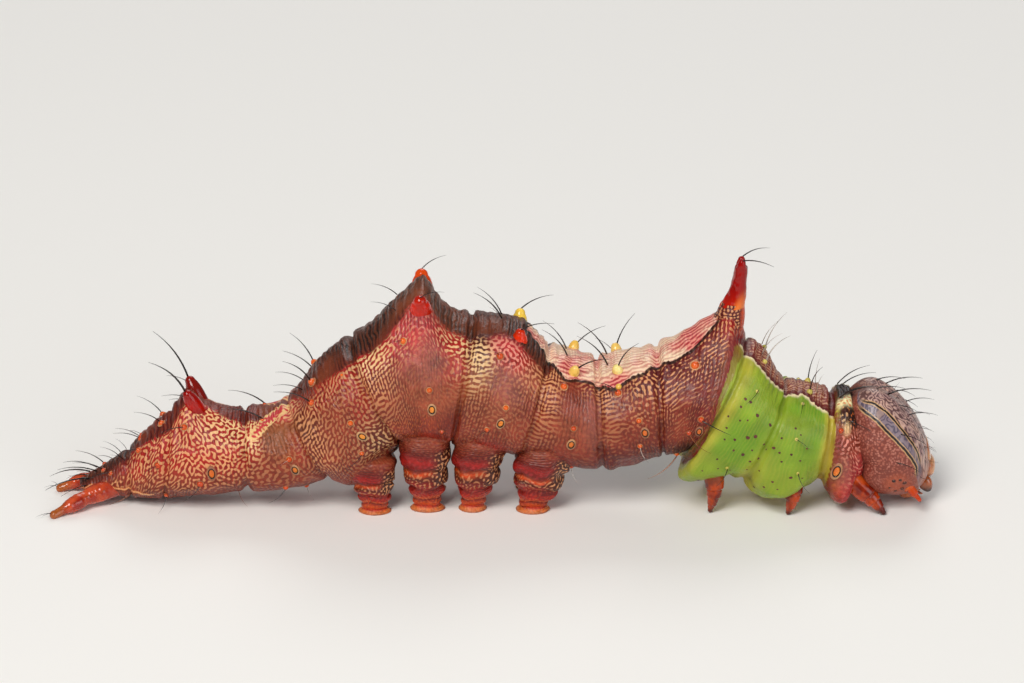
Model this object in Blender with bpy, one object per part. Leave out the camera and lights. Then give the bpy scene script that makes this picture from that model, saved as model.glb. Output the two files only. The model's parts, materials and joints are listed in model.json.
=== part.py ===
"""A resting larva of the plain schizura moth, life size, as a museum model in separate named pieces.

Run it with: blender --background --python part.py. Metres, +Z up, head towards +X, floor at Z = 0.
All sizes below are in millimetres and are scaled to metres as each mesh is made.
"""

import math

import bmesh
import bpy
import numpy as np
from mathutils import Matrix, Vector

MM = 0.001
SIDE_WORDS = {1: "left", -1: "right"}  # by the sign of y
GAP = 0.22  # between neighbouring pieces of the body and its legs
FINE_GAP = 0.12  # under the small pieces on the back and at the mouth, which are hardly higher than GAP
SOLE_Z = 0.0  # everything the larva stands on ends at this level

# The trunk is a row of planar rings. Each groove between two segments gives the ring's dorsal point
# (x, z), its ventral point (x, z) and its half width.
GROOVES = [
    ("tail tip", (-14.05, 0.72), (-13.90, 0.20), 0.42),
    ("A10 to A9", (-12.55, 1.78), (-12.40, 0.14), 0.95),
    ("A9 to A8", (-11.00, 3.10), (-11.25, 0.12), 1.42),
    ("A8 to A7", (-8.50, 3.25), (-8.40, 0.50), 1.62),
    ("A7 to A6", (-7.05, 3.65), (-5.50, 1.10), 1.85),
    ("A6 to A5", (-4.90, 5.85), (-3.00, 2.30), 2.15),
    ("A5 to A4", (-0.70, 6.70), (-1.50, 2.20), 2.30),
    ("A4 to A3", (1.90, 5.55), (0.80, 1.85), 2.22),
    ("A3 to A2", (3.50, 5.10), (3.70, 1.38), 2.12),
    ("A2 to A1", (5.50, 5.50), (5.80, 1.85), 2.10),
    ("A1 to T3", (8.60, 5.75), (6.50, 1.95), 2.10),
    ("T3 to T2", (9.95, 4.30), (8.40, 1.00), 2.05),
    ("T2 to T1", (11.50, 3.85), (11.05, 0.75), 1.75),
    ("T1 to head", (12.25, 3.80), (12.45, 0.65), 1.48),
]
SEGMENTS = ["A10", "A9", "A8", "A7", "A6", "A5", "A4", "A3", "A2", "A1", "T3", "T2", "T1"]

# How far each segment swells between its grooves: on the back, at the sides and underneath.
SWELL = {
    "A10": (0.02, 0.03, 0.0),
    "A9": (0.03, 0.04, 0.0),
    "A8": (0.0, 0.06, 0.0),
    "A7": (0.02, 0.08, 0.18),
    "A6": (0.06, 0.12, 0.0),
    "A5": (0.0, 0.12, 0.0),
    "A4": (0.12, 0.12, 0.0),
    "A3": (0.08, 0.10, 0.0),
    "A2": (0.05, 0.10, 0.0),
    "A1": (0.0, 0.08, 0.05),
    "T3": (0.06, 0.08, 0.05),
    "T2": (0.18, 0.08, 0.05),
    "T1": (0.28, 0.12, 0.05),
}

# Humps and lobes. A station counts segments from the tail, so 5.6 lies in A5. Angles run from the
# middle of the back, in degrees. Reaches are in stations; the foot is where a hump dies out.
HUMPS = [
    dict(
        station=2.28, angle=0, height=0.75,
        back=0.40, front=0.62, flat=12, foot=62, lean=(-0.15, 0, 1), power=2.0,
    ),
    dict(
        station=5.58, angle=0, height=1.48,
        back=0.58, front=0.31, flat=22, foot=74, lean=(0.02, 0, 1), power=1.9,
    ),
    dict(
        station=6.60, angle=0, height=0.30,
        back=0.45, front=0.42, flat=25, foot=80, lean=(0, 0, 1), power=1.5,
    ),
    dict(
        station=9.82, angle=0, height=1.28,
        back=0.84, front=0.18, flat=0, foot=60, lean=(-0.06, 0, 1), power=1.5,
    ),
    dict(
        station=4.45, angle=150, height=0.55,
        back=0.50, front=0.50, flat=25, foot=90, lean=(-0.2, 0, -1), power=1.0,
    ),
    dict(
        station=10.22, angle=140, height=0.95,
        back=0.32, front=0.55, flat=12, foot=55, lean=(-0.7, 0.3, -1), power=1.0,
    ),
    dict(
        station=11.38, angle=138, height=0.57,
        back=0.45, front=0.5, flat=10, foot=50, lean=(-0.1, 0.35, -1), power=1.0,
    ),
    dict(
        station=12.45, angle=135, height=0.60,
        back=0.45, front=0.5, flat=10, foot=45, lean=(0, 0.35, -1), power=1.0,
    ),
]

AROUND = 28  # facets round the trunk
STEPS = (0.15, 0.32, 0.5, 0.68, 0.85)  # rings between two grooves, as shares of the segment
EXTRA_STEPS = {"A8": (0.28,), "A5": (0.58, 0.75), "A4": (0.60,), "A1": (0.77,)}

# Colours as linear red, green, blue, with roughness.
FINISHES = {
    "skin_brown": ((0.27, 0.11, 0.075), 0.5),
    "skin_green": ((0.32, 0.46, 0.07), 0.42),
    "horn_red": ((0.62, 0.06, 0.015), 0.25),
    "head_brown": ((0.30, 0.14, 0.11), 0.45),
    "leg_orange": ((0.55, 0.12, 0.02), 0.25),
    "proleg_red": ((0.33, 0.06, 0.04), 0.45),
    "mouth_amber": ((0.48, 0.20, 0.05), 0.3),
}

# Prolegs A3 to A6: middle and half width of the tube at its root, middle and foot, along x, with the
# outward place of root and foot. The root's height lies inside the trunk.
PROLEGS = {
    "A3": dict(
        root=(1.85, 1.25, 2.70), foot=(1.33, 0.95),
        widths=(0.98, 0.86, 0.50), depths=(0.78, 0.66, 0.42),
    ),
    "A4": dict(
        root=(-0.42, 1.25, 3.00), foot=(-0.72, 0.85),
        widths=(0.84, 0.78, 0.42), depths=(0.78, 0.68, 0.38),
    ),
    "A5": dict(
        root=(-2.36, 1.25, 3.10), foot=(-2.26, 0.85),
        widths=(0.84, 0.76, 0.52), depths=(0.78, 0.68, 0.38),
    ),
    "A6": dict(
        root=(-4.15, 1.20, 1.60), foot=(-4.05, 1.05),
        widths=(0.80, 0.68, 0.48), depths=(0.72, 0.56, 0.40),
    ),
}
PROLEG_SHARES = (0, 0.5, 0.88, 1)  # root, knee, ankle and foot, as shares of the way down
ANKLE = 0.92  # width of the ankle as a share of the foot
PROLEG_RINGS, PROLEG_AROUND = 11, 14
FOLDS = 3  # rings of soft skin round a proleg
FOLD_RISE = 0.05  # of its width
TRUE_LEGS = {
    "T1": dict(root=(12.30, 1.05, 1.05), tip=(13.28, 1.45), girth=0.36),
    "T2": dict(root=(10.15, 1.25, 1.35), tip=(10.03, 1.45), girth=0.34),
    "T3": dict(root=(7.45, 1.20, 1.60), tip=(7.38, 1.25), girth=0.34),
}
TRUE_LEG_RINGS = (  # share of the way from root to tip, girth as a share of the leg's own
    (0, 1.1), (0.3, 1.0), (0.42, 0.92), (0.46, 0.80), (0.64, 0.72), (0.68, 0.58), (0.86, 0.44), (1, 0.22),
)
TRUE_LEG_AROUND = 10

# The slim hind prolegs: x, height and girth along them, and how far out each runs. The right one is
# thrown out to the side, the left one points straight back.
ANAL_LEG = dict(
    x=(-12.90, -13.70, -14.35, -14.95), z=(0.62, 0.45, 0.30, 0.10), girth=(0.32, 0.33, 0.27, 0.13)
)
ANAL_SPLAY = {"left": (0.45, 0.62, 0.66, 0.58), "right": (0.45, 0.75, 1.25, 1.66)}
ANAL_LEG_RINGS = 8

# Warts on the trunk: segment, share of its length, angle from the back, radius, height.
WARTS = [
    ("A9", 0.55, 22, 0.17, 0.14),
    ("A7", 0.35, 26, 0.14, 0.10),
    ("A6", 0.50, 24, 0.18, 0.14),
    ("A3", 0.50, 27, 0.20, 0.26),
    ("A2", 0.38, 24, 0.20, 0.24),
    ("A1", 0.42, 42, 0.16, 0.10),
    ("A2", 0.30, 52, 0.15, 0.08),
    ("A3", 0.30, 54, 0.15, 0.08),
    ("A4", 0.42, 50, 0.15, 0.08),
    ("A5", 0.36, 48, 0.17, 0.10),
    ("T2", 0.45, 24, 0.14, 0.12),
    ("T3", 0.50, 24, 0.14, 0.12),
]
# The large tubercles and horns that are pieces of their own: foot (x, y, z), tip (x, y, z), girth.
TUBERCLES = {
    "A4": dict(foot=(0.84, 0.80, 5.90), tip=(0.92, 0.97, 6.62), girth=0.26),
    "A5": dict(foot=(-2.42, 0.98, 7.15), tip=(-2.46, 1.34, 7.92), girth=0.34),
    "A8": dict(foot=(-10.02, 0.42, 3.36), tip=(-10.44, 0.66, 4.24), girth=0.25),
}
TUBERCLE_RINGS = ((0, 1.1), (0.35, 1.05), (0.6, 0.92), (0.8, 0.70), (0.93, 0.42))  # share of the way, girth
SPIRACLES = {
    "A8": (0.50, 116),
    "A7": (0.62, 112),
    "A6": (0.50, 108),
    "A5": (0.50, 104),
    "A4": (0.50, 104),
    "A3": (0.50, 106),
    "A2": (0.62, 100),
    "A1": (0.72, 104),
    "T1": (0.45, 118),
}
SPIRACLE_SIZE = (0.17, 0.24, 0.07)  # half length, half height, rise

# The horn on A1 leans a little: height of each ring, x of its middle, half width along x and across.
HORN_RINGS = [
    (6.10, 7.92, 0.52, 0.72),
    (6.75, 8.00, 0.50, 0.58),
    (7.10, 8.06, 0.43, 0.47),
    (7.45, 8.18, 0.33, 0.37),
    (7.80, 8.26, 0.27, 0.31),
    (8.20, 8.31, 0.23, 0.28),
    (8.55, 8.34, 0.21, 0.27),
]
HORN_AROUND = 12
HORN_CUT = 7.14  # where brown skin ends and the red horn starts
HORN_KNOB = dict(out=0.14, height=8.62, radius=0.19)

HEAD_MIDDLE = (13.53, 0.0, 2.27)
HEAD_TILT = 27  # degrees that the crown leans back over the neck
HEAD_HALF = dict(up=2.28, down=1.88, front=1.15, back=1.30, side=1.84)
HEAD_SQUARE = 2.35  # 2 is an ellipse; more makes the cheeks fuller
CROWN_TAPER = 0.12
CHEEK_FILL = 0.32  # how much the back of the head swells behind the cheeks
CHEEK_FALL = 0.20  # how far the cheeks hang below the mouth
CLEFT = dict(depth=0.18, width=0.38)  # furrow between the two halves of the crown
HEAD_AROUND, HEAD_RINGS = 28, 15
STEMMA_RADIUS = 0.085
# The six simple eyes of a side, in degrees from the crown and from the middle of the face.
STEMMATA = [(114, 97), (116, 91), (123, 89), (131, 94), (130, 103), (121, 106)]

# Mouth pieces, placed by the head's own down, front and side from its middle. The half sizes run
# front, side and down.
LABRUM = dict(place=(1.45, 0.70, 0), half=(0.34, 0.55, 0.44))
LABIUM = dict(place=(1.95, -0.22, 0), half=(0.40, 0.52, 0.34))
MANDIBLE = dict(place=(1.95, 0.42, 0.34), half=(0.24, 0.26, 0.30))
FEELER = dict(root=(1.25, -0.10, 1.15), tip=(1.96, 0.10, 1.50))
FEELER_RINGS = ((0, 0.27), (0.5, 0.25), (0.75, 0.22), (0.78, 0.15), (1, 0.11))  # share of the way, girth


def finish_of(name):
    """The named material, made once."""
    found = bpy.data.materials.get(name)
    if found:
        return found
    colour, roughness = FINISHES[name]
    made = bpy.data.materials.new(name)
    made.use_nodes = True
    shader = made.node_tree.nodes["Principled BSDF"]
    shader.inputs["Base Color"].default_value = (*colour, 1)
    shader.inputs["Roughness"].default_value = roughness
    shader.inputs["Metallic"].default_value = 0
    return made


def through(values, station):
    """A smooth curve through one value for each groove, read at any station."""
    values = np.asarray(values, float)
    ends = [2 * values[0] - values[1]], [2 * values[-1] - values[-2]]
    padded = np.concatenate([ends[0], values, ends[1]])
    first = np.clip(np.floor(station).astype(int), 0, len(values) - 2)
    t = station - first
    before, start, end, after = (padded[first + step] for step in range(4))
    if values.ndim > 1:
        t = t[..., None]
    linear = end - before
    square = 2 * before - 5 * start + 4 * end - after
    cube = 3 * start - before - 3 * end + after
    return 0.5 * (2 * start + linear * t + square * t**2 + cube * t**3)


def eased(x):
    """0 below 0, 1 above 1, with a soft start and end."""
    x = np.clip(x, 0, 1)
    return x * x * (3 - 2 * x)


def hump_amount(hump, side, station, angle):
    """How far this hump lifts the skin at a station and angle."""
    behind = (hump["station"] - station) / hump["back"]
    ahead = (station - hump["station"]) / hump["front"]
    away = np.maximum(behind, ahead)
    away = np.sqrt(away * away + 0.01) - 0.1
    ridge = eased(1 - away) if hump["power"] == 1.0 else np.clip(1 - away, 0, 1) ** hump["power"]
    turn = angle - side * math.radians(hump["angle"])
    off = np.degrees(np.abs(np.arctan2(np.sin(turn), np.cos(turn))))
    return hump["height"] * ridge * eased((hump["foot"] - off) / (hump["foot"] - hump["flat"]))


def trunk_point(station, angle):
    """A point of the trunk's skin in millimetres, the angle in radians from the middle of the back."""
    station, angle = np.broadcast_arrays(np.asarray(station, float), np.asarray(angle, float))
    top = through([groove[1] for groove in GROOVES], station)
    low = through([groove[2] for groove in GROOVES], station)
    wide = through([groove[3] for groove in GROOVES], station)
    segment = np.clip(np.floor(station).astype(int), 0, len(SEGMENTS) - 1)
    swell = np.array([SWELL[name] for name in SEGMENTS])[segment]
    bulge = 1 - np.abs(2 * (station - segment) - 1) ** 2.5
    up, out = np.cos(angle), np.sin(angle)
    middle, arm = (top + low) / 2, (top - low) / 2
    more = 1 + np.where(up > 0, swell[..., 0], swell[..., 2]) * bulge / np.linalg.norm(arm, axis=-1)
    x = middle[..., 0] + arm[..., 0] * up * more
    z = middle[..., 1] + arm[..., 1] * up * more
    y = (wide + swell[..., 1] * bulge) * out
    for hump in HUMPS:
        for side in (1,) if hump["angle"] == 0 else (1, -1):
            amount = hump_amount(hump, side, station, angle)
            lean = Vector(hump["lean"]).normalized()
            x = x + lean.x * amount
            y = y + side * lean.y * amount
            z = z + lean.z * amount
    return np.stack([x, y, z], -1)


def trunk_normal(station, angle):
    """The outward direction of the skin there."""
    small = 0.01
    along = trunk_point(station + small, angle) - trunk_point(station - small, angle)
    round_ = trunk_point(station, angle + small) - trunk_point(station, angle - small)
    normal = np.cross(along, round_)
    return normal / np.linalg.norm(normal, axis=-1, keepdims=True)


def groove_axis(number):
    """The direction in which the trunk runs through a groove, square to its ring."""
    (top_x, top_z), (low_x, low_z) = GROOVES[number][1:3]
    return np.array(Vector((top_z - low_z, 0, low_x - top_x)).normalized())


def mesh_object(name, points, faces, finish):
    """A new object from points in millimetres, its faces turned outwards."""
    mesh = bpy.data.meshes.new(name)
    mesh.from_pydata([tuple(MM * float(c) for c in point) for point in points], [], faces)
    work = bmesh.new()
    work.from_mesh(mesh)
    bmesh.ops.recalc_face_normals(work, faces=work.faces)
    work.to_mesh(mesh)
    work.free()
    mesh.materials.append(finish_of(finish))
    made = bpy.data.objects.new(name, mesh)
    bpy.context.scene.collection.objects.link(made)
    return made


def loft(name, rings, finish, start=None, end=None):
    """A closed tube through rings of points. Its ends close on a middle point, given or worked out."""
    rings = [np.asarray(ring, float) for ring in rings]
    count = len(rings[0])
    points = [point for ring in rings for point in ring]
    points.append(rings[0].mean(0) if start is None else start)
    points.append(rings[-1].mean(0) if end is None else end)
    faces = []
    for row in range(len(rings) - 1):
        for i in range(count):
            a, b = row * count + i, row * count + (i + 1) % count
            faces.append((a, b, b + count, a + count))
    last = (len(rings) - 1) * count
    for i in range(count):
        faces.append(((i + 1) % count, i, len(points) - 2))
        faces.append((last + i, last + (i + 1) % count, len(points) - 1))
    return mesh_object(name, points, faces, finish)


def tube(name, path, radii, finish, around=12, tip_rise=0.0):
    """A tapering tube along a path, its rings square to the way it runs."""
    path = [Vector(point) for point in path]
    rings = []
    for i, point in enumerate(path):
        way = (path[min(i + 1, len(path) - 1)] - path[max(i - 1, 0)]).normalized()
        across = Vector((0, 1, 0)) - way * way.y
        across.normalize()
        along = across.cross(way)
        turns = [2 * math.pi * k / around for k in range(around)]
        rings.append([point + (along * math.cos(a) + across * math.sin(a)) * radii[i] for a in turns])
    way = (path[-1] - path[-2]).normalized()
    return loft(name, rings, finish, end=path[-1] + way * tip_rise)


def ball(name, middle, radii, turn, finish, around=10, rings=6):
    """A closed ellipsoid; turn is the matrix that lays its own axes."""
    work = bmesh.new()
    bmesh.ops.create_uvsphere(work, u_segments=around, v_segments=rings, radius=1)
    sized = [Vector((v.co.x * radii[0], v.co.y * radii[1], v.co.z * radii[2])) for v in work.verts]
    points = [Vector(middle) + turn @ place for place in sized]
    faces = [tuple(v.index for v in face.verts) for face in work.faces]
    work.free()
    return mesh_object(name, points, faces, finish)


def applied(obj, modifier_settings):
    """The object with one Boolean modifier worked out and removed."""
    modifier = obj.modifiers.new("cut", "BOOLEAN")
    for key, value in modifier_settings.items():
        setattr(modifier, key, value)
    graph = bpy.context.evaluated_depsgraph_get()
    result = bpy.data.meshes.new_from_object(obj.evaluated_get(graph))
    obj.modifiers.clear()
    old, obj.data = obj.data, result
    name = old.name
    bpy.data.meshes.remove(old)
    obj.data.name = name
    keep_largest(obj.data)
    return obj


def keep_largest(mesh):
    """Leaves the largest closed surface and drops loose scraps."""
    work = bmesh.new()
    work.from_mesh(mesh)
    seen, islands = set(), []
    for face in work.faces:
        if face in seen:
            continue
        island, queue = [], [face]
        seen.add(face)
        while queue:
            current = queue.pop()
            island.append(current)
            for edge in current.edges:
                for other in edge.link_faces:
                    if other not in seen:
                        seen.add(other)
                        queue.append(other)
        islands.append(island)
    islands.sort(key=lambda island: sum(face.calc_area() for face in island))
    scraps = [face for island in islands[:-1] for face in island]
    bmesh.ops.delete(work, geom=scraps, context="FACES")
    work.to_mesh(mesh)
    work.free()


def removed(obj):
    mesh = obj.data
    bpy.data.objects.remove(obj)
    bpy.data.meshes.remove(mesh)


def fused(obj, pieces):
    """Joins closed pieces to the object by one union."""
    if not pieces:
        return obj
    group = bpy.data.collections.new("pieces")
    bpy.context.scene.collection.children.link(group)
    for piece in pieces:
        bpy.context.scene.collection.objects.unlink(piece)
        group.objects.link(piece)
    applied(obj, dict(operation="UNION", operand_type="COLLECTION", collection=group, solver="EXACT"))
    for piece in pieces:
        removed(piece)
    bpy.data.collections.remove(group)
    return obj


def cut_by(obj, cutter):
    return applied(obj, dict(operation="DIFFERENCE", operand_type="OBJECT", object=cutter, solver="EXACT"))


def smoothed(obj):
    obj.data.shade_smooth()
    obj.data.set_sharp_from_angle(angle=math.radians(40))
    return obj


def trunk_cutter(name, clearance):
    """The whole trunk, swollen by a clearance, for cutting legs and horns to meet it."""
    turns = np.linspace(0, 2 * math.pi, 40, endpoint=False)
    stations = np.arange(0.05, len(SEGMENTS) - 0.01, 0.125)
    rings = [trunk_point(s, turns) + clearance * trunk_normal(s, turns) for s in stations]
    cutter = loft(name, rings, "skin_brown")
    cutter.hide_render = True
    cutter.display_type = "WIRE"
    return cutter


def surface_turn(station, angle):
    """The matrix whose third axis points out of the skin and whose first runs along the trunk."""
    out = Vector(trunk_normal(station, angle))
    along = Vector(trunk_point(station + 0.01, angle) - trunk_point(station - 0.01, angle)).normalized()
    along = (along - out * along.dot(out)).normalized()
    return Matrix((along, out.cross(along), out)).transposed()


def wart(station, degrees, radius, height, finish):
    angle = math.radians(degrees)
    middle = trunk_point(station, angle)
    return ball("wart", middle, (radius, radius, height), surface_turn(station, angle), finish, 8, 5)


def spiracle(station, degrees, finish):
    """The low oval boss of a breathing hole."""
    angle = math.radians(degrees)
    middle = trunk_point(station, angle)
    return ball("spiracle", middle, SPIRACLE_SIZE, surface_turn(station, angle), finish, 10, 4)


def horn_tube(name, low, high, finish):
    """The stretch of the A1 horn between two heights, with square ends."""
    heights = [ring[0] for ring in HORN_RINGS]
    levels = [low] + [h for h in heights if low + 0.08 < h < high - 0.08] + [high]
    columns = [[ring[i] for ring in HORN_RINGS] for i in (1, 2, 3)]
    turns = np.linspace(0, 2 * math.pi, HORN_AROUND, endpoint=False)
    rings = []
    for level in levels:
        x, half_x, half_y = (np.interp(level, heights, column) for column in columns)
        ring = [x + half_x * np.cos(turns), half_y * np.sin(turns), np.full(HORN_AROUND, level)]
        rings.append(np.stack(ring, -1))
    return loft(name, rings, finish)


def trunk_segment(number):
    """One segment of the trunk, with its warts and spiracles."""
    name = SEGMENTS[number]
    finish = "skin_green" if name in ("T2", "T3") else "skin_brown"
    turns = np.linspace(0, 2 * math.pi, AROUND, endpoint=False)
    steps = sorted(set(STEPS + EXTRA_STEPS.get(name, ())))
    first = trunk_point(number, turns) + groove_axis(number) * GAP / 2
    last = trunk_point(number + 1 - 1e-9, turns) - groove_axis(number + 1) * GAP / 2
    rings = [first] + [trunk_point(number + step, turns) for step in steps] + [last]
    made = loft(f"{'thorax' if name[0] == 'T' else 'abdomen'}_{name.lower()}", rings, finish)
    pieces = []
    for segment, share, degrees, radius, height in WARTS:
        if segment == name:
            pieces += [wart(number + share, side * degrees, radius, height, finish) for side in (1, -1)]
    if name in SPIRACLES:
        share, degrees = SPIRACLES[name]
        pieces += [spiracle(number + share, side * degrees, finish) for side in (1, -1)]
    if name == "A1":
        pieces.append(horn_tube("horn stub", HORN_RINGS[0][0], HORN_CUT, finish))
    return smoothed(fused(made, pieces))


def root_and_end(sizes, key, side, level):
    """The two ends of a leg on one side of the body, the lower one at the given height."""
    root = Vector((sizes["root"][0], side * sizes["root"][1], sizes["root"][2]))
    return root, Vector((sizes[key][0], side * sizes[key][1], level))


def level_ring(middle, half_x, half_y, around):
    """A flat oval of points round a middle."""
    turns = [2 * math.pi * k / around for k in range(around)]
    return [middle + Vector((half_x * math.cos(a), half_y * math.sin(a), 0)) for a in turns]


def proleg(name, side, cutter):
    """One proleg: a soft ringed tube from the trunk down to a flat sole."""
    sizes = PROLEGS[name]
    root, foot = root_and_end(sizes, "foot", side, SOLE_Z)
    rings = []
    for i in range(PROLEG_RINGS):
        t = i / (PROLEG_RINGS - 1)
        middle = root.lerp(foot, eased(t) * 0.35 + t * 0.65)
        fold = 1 + FOLD_RISE * math.cos(2 * math.pi * FOLDS * t) * (1 - abs(2 * t - 1))
        width, depth = (
            float(np.interp(t, PROLEG_SHARES, (high, knee, ANKLE * sole, sole))) * fold
            for high, knee, sole in (sizes["widths"], sizes["depths"])
        )
        rings.append(level_ring(middle, width, depth, PROLEG_AROUND))
    made = loft(f"proleg_{name.lower()}_{SIDE_WORDS[side]}", rings, "proleg_red")
    return smoothed(cut_by(made, cutter))


def true_leg(name, side, cutter):
    """One jointed leg of the thorax, ending in a blunt claw on the floor."""
    sizes = TRUE_LEGS[name]
    root, tip = root_and_end(sizes, "tip", side, SOLE_Z)
    rings = []
    for share, girth in TRUE_LEG_RINGS:
        radius = sizes["girth"] * girth
        rings.append(level_ring(root.lerp(tip, share), radius, radius, TRUE_LEG_AROUND))
    made = loft(f"leg_{name.lower()}_{SIDE_WORDS[side]}", rings, "leg_orange")
    return smoothed(cut_by(made, cutter))


def anal_leg(side, cutter):
    """The slim hind proleg, held out behind and resting on the floor."""
    word = SIDE_WORDS[side]
    stations = np.linspace(0, len(ANAL_LEG["x"]) - 1, ANAL_LEG_RINGS)
    x, y, z, girths = (
        through(values, stations)
        for values in (ANAL_LEG["x"], ANAL_SPLAY[word], ANAL_LEG["z"], ANAL_LEG["girth"])
    )
    course = np.stack([x, side * y, z], -1)
    made = tube(f"anal_leg_{word}", course, [float(g) for g in girths], "leg_orange", 10, 0.06)
    for vertex in made.data.vertices:
        vertex.co.z = max(vertex.co.z, SOLE_Z)
    return smoothed(cut_by(made, cutter))


def tubercle(name, side, cutter):
    """A stout wart or small horn that stands on the back as a piece of its own."""
    sizes = TUBERCLES[name]
    foot = Vector((sizes["foot"][0], side * sizes["foot"][1], sizes["foot"][2]))
    tip = Vector((sizes["tip"][0], side * sizes["tip"][1], sizes["tip"][2]))
    path = [foot.lerp(tip, share) for share, _ in TUBERCLE_RINGS]
    radii = [sizes["girth"] * girth for _, girth in TUBERCLE_RINGS]
    name = f"tubercle_{name.lower()}_{SIDE_WORDS[side]}"
    made = tube(name, path, radii, "horn_red", 12, (tip - path[-1]).length)
    return smoothed(cut_by(made, cutter))


def horn():
    """The tall red horn of A1 with its two blunt points."""
    made = horn_tube("horn_a1", HORN_CUT + FINE_GAP, HORN_RINGS[-1][0], "horn_red")
    knobs = []
    for side in (1, -1):
        middle = (HORN_RINGS[-1][1], side * HORN_KNOB["out"], HORN_KNOB["height"])
        radii = (HORN_KNOB["radius"], HORN_KNOB["radius"] * 0.8, HORN_KNOB["radius"] * 1.25)
        knobs.append(ball("knob", middle, radii, Matrix.Identity(3), "horn_red", 10, 6))
    return smoothed(fused(made, knobs))


def head_axes():
    """Directions of the head's own down, front and side."""
    tilt = math.radians(HEAD_TILT)
    down = Vector((math.sin(tilt), 0, -math.cos(tilt)))
    front = Vector((math.cos(tilt), 0, math.sin(tilt)))
    return down, front, Vector((0, 1, 0))


def head_point(polar, turn, grow=0.0):
    """A point of the head capsule. Polar runs from crown to mouth, turn from the face round the cheek."""
    half = HEAD_HALF
    rise, reach = math.cos(polar), math.sin(polar)
    below = max(-rise, 0)
    reach **= 0.72 if below else 0.92
    power = 2 / HEAD_SQUARE
    forward, sideways = math.cos(turn), math.sin(turn)
    forward = math.copysign(abs(forward) ** power, forward)
    sideways = math.copysign(abs(sideways) ** power, sideways)
    if forward > 0:
        front = half["front"] * forward * reach * (1 - CROWN_TAPER * max(rise, 0))
    else:
        front = half["back"] * forward * reach * (1 + CHEEK_FILL * math.sin(math.pi * below))
    side = half["side"] * sideways * reach * (1 - CROWN_TAPER * max(rise, 0) ** 2)
    down = -(half["down"] if below else half["up"]) * rise
    down += CLEFT["depth"] * math.exp(-((side / CLEFT["width"]) ** 2)) * float(eased(rise * 1.6))
    axes = head_axes()
    offset = axes[0] * down + axes[1] * front + axes[2] * side
    fall = CHEEK_FALL * abs(sideways) ** 1.5 * reach * below**0.6
    offset += Vector((-0.6, 0, -0.8)) * fall
    return Vector(HEAD_MIDDLE) + offset + offset.normalized() * grow


def head_shell(name, grow, finish):
    rings = []
    for i in range(1, HEAD_RINGS):
        polar = math.pi * i / HEAD_RINGS
        rings.append([head_point(polar, 2 * math.pi * k / HEAD_AROUND, grow) for k in range(HEAD_AROUND)])
    return loft(name, rings, finish, head_point(0, 0, grow), head_point(math.pi, 0, grow))


def head_place(down, front, side):
    axes = head_axes()
    return Vector(HEAD_MIDDLE) + axes[0] * down + axes[1] * front + axes[2] * side


def head_capsule():
    """The head: a hard capsule, cut flat behind where the neck enters, with six simple eyes a side."""
    made = head_shell("head", 0, "head_brown")
    neck = [0.5 * (a + b) for a, b in zip(GROOVES[-1][1], GROOVES[-1][2])]
    back = np.array((neck[0], 0, neck[1])) + groove_axis(len(GROOVES) - 1) * GAP
    work = bmesh.new()
    work.from_mesh(made.data)
    cut = bmesh.ops.bisect_plane(
        work, geom=work.verts[:] + work.edges[:] + work.faces[:], dist=1e-7,
        plane_co=[MM * c for c in back], plane_no=groove_axis(len(GROOVES) - 1), clear_inner=True,
    )
    rim = [e for e in cut["geom_cut"] if isinstance(e, bmesh.types.BMEdge)]
    bmesh.ops.edgeloop_fill(work, edges=rim)
    bmesh.ops.recalc_face_normals(work, faces=work.faces)
    work.to_mesh(made.data)
    work.free()
    eyes = []
    for side in (1, -1):
        for polar, turn in STEMMATA:
            place = head_point(math.radians(polar), side * math.radians(turn))
            eyes.append(ball("eye", place, (STEMMA_RADIUS,) * 3, Matrix.Identity(3), "head_brown", 6, 4))
    return smoothed(fused(made, eyes))


def mouth_pieces(cutter):
    """Upper lip, two jaws, lower lip and two short feelers, each cut to stand just off the capsule."""
    axes = head_axes()
    turn = Matrix((axes[1], axes[2], -axes[0])).transposed()
    made = [
        ball("labrum", head_place(*LABRUM["place"]), LABRUM["half"], turn, "mouth_amber", 12, 7),
        ball("labium", head_place(*LABIUM["place"]), LABIUM["half"], turn, "mouth_amber", 12, 7),
    ]
    for side, word in SIDE_WORDS.items():
        down, front, out = MANDIBLE["place"]
        place = head_place(down, front, side * out)
        made.append(ball(f"mandible_{word}", place, MANDIBLE["half"], turn, "mouth_amber", 10, 6))
        root, tip = (head_place(d, f, side * o) for d, f, o in (FEELER["root"], FEELER["tip"]))
        path = [root.lerp(tip, share) for share, _ in FEELER_RINGS]
        radii = [girth for _, girth in FEELER_RINGS]
        made.append(tube(f"antenna_{word}", path, radii, "leg_orange", 9, 0.04))
    return [smoothed(cut_by(piece, cutter)) for piece in made]


def build():
    for old in list(bpy.data.objects):
        bpy.data.objects.remove(old)
    wide = trunk_cutter("trunk clearance", GAP)
    fine = trunk_cutter("trunk fine clearance", FINE_GAP)
    for number in range(len(SEGMENTS)):
        trunk_segment(number)
    for side in (1, -1):
        for name in PROLEGS:
            proleg(name, side, wide)
        for name in TRUE_LEGS:
            true_leg(name, side, wide)
        for name in TUBERCLES:
            tubercle(name, side, fine)
        anal_leg(side, wide)
    horn()
    head_capsule()
    shell = head_shell("head clearance", FINE_GAP, "head_brown")
    mouth_pieces(shell)
    for cutter in (wide, fine, shell):
        removed(cutter)


build()
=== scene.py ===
# %% [markdown]
# # A moth larva, life size
# The larva rests on its fat prolegs, with the middle of its body arched and its head held low.
# It is about 30 mm long, so every size below is in millimetres and is scaled to metres at the end.
# The solid pieces that were made for the physics are loaded first: they fix where everything goes.

# %% Load the solid frame
import json
import math

import bmesh
import bpy
import numpy as np
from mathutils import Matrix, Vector
from mathutils.kdtree import KDTree

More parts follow.
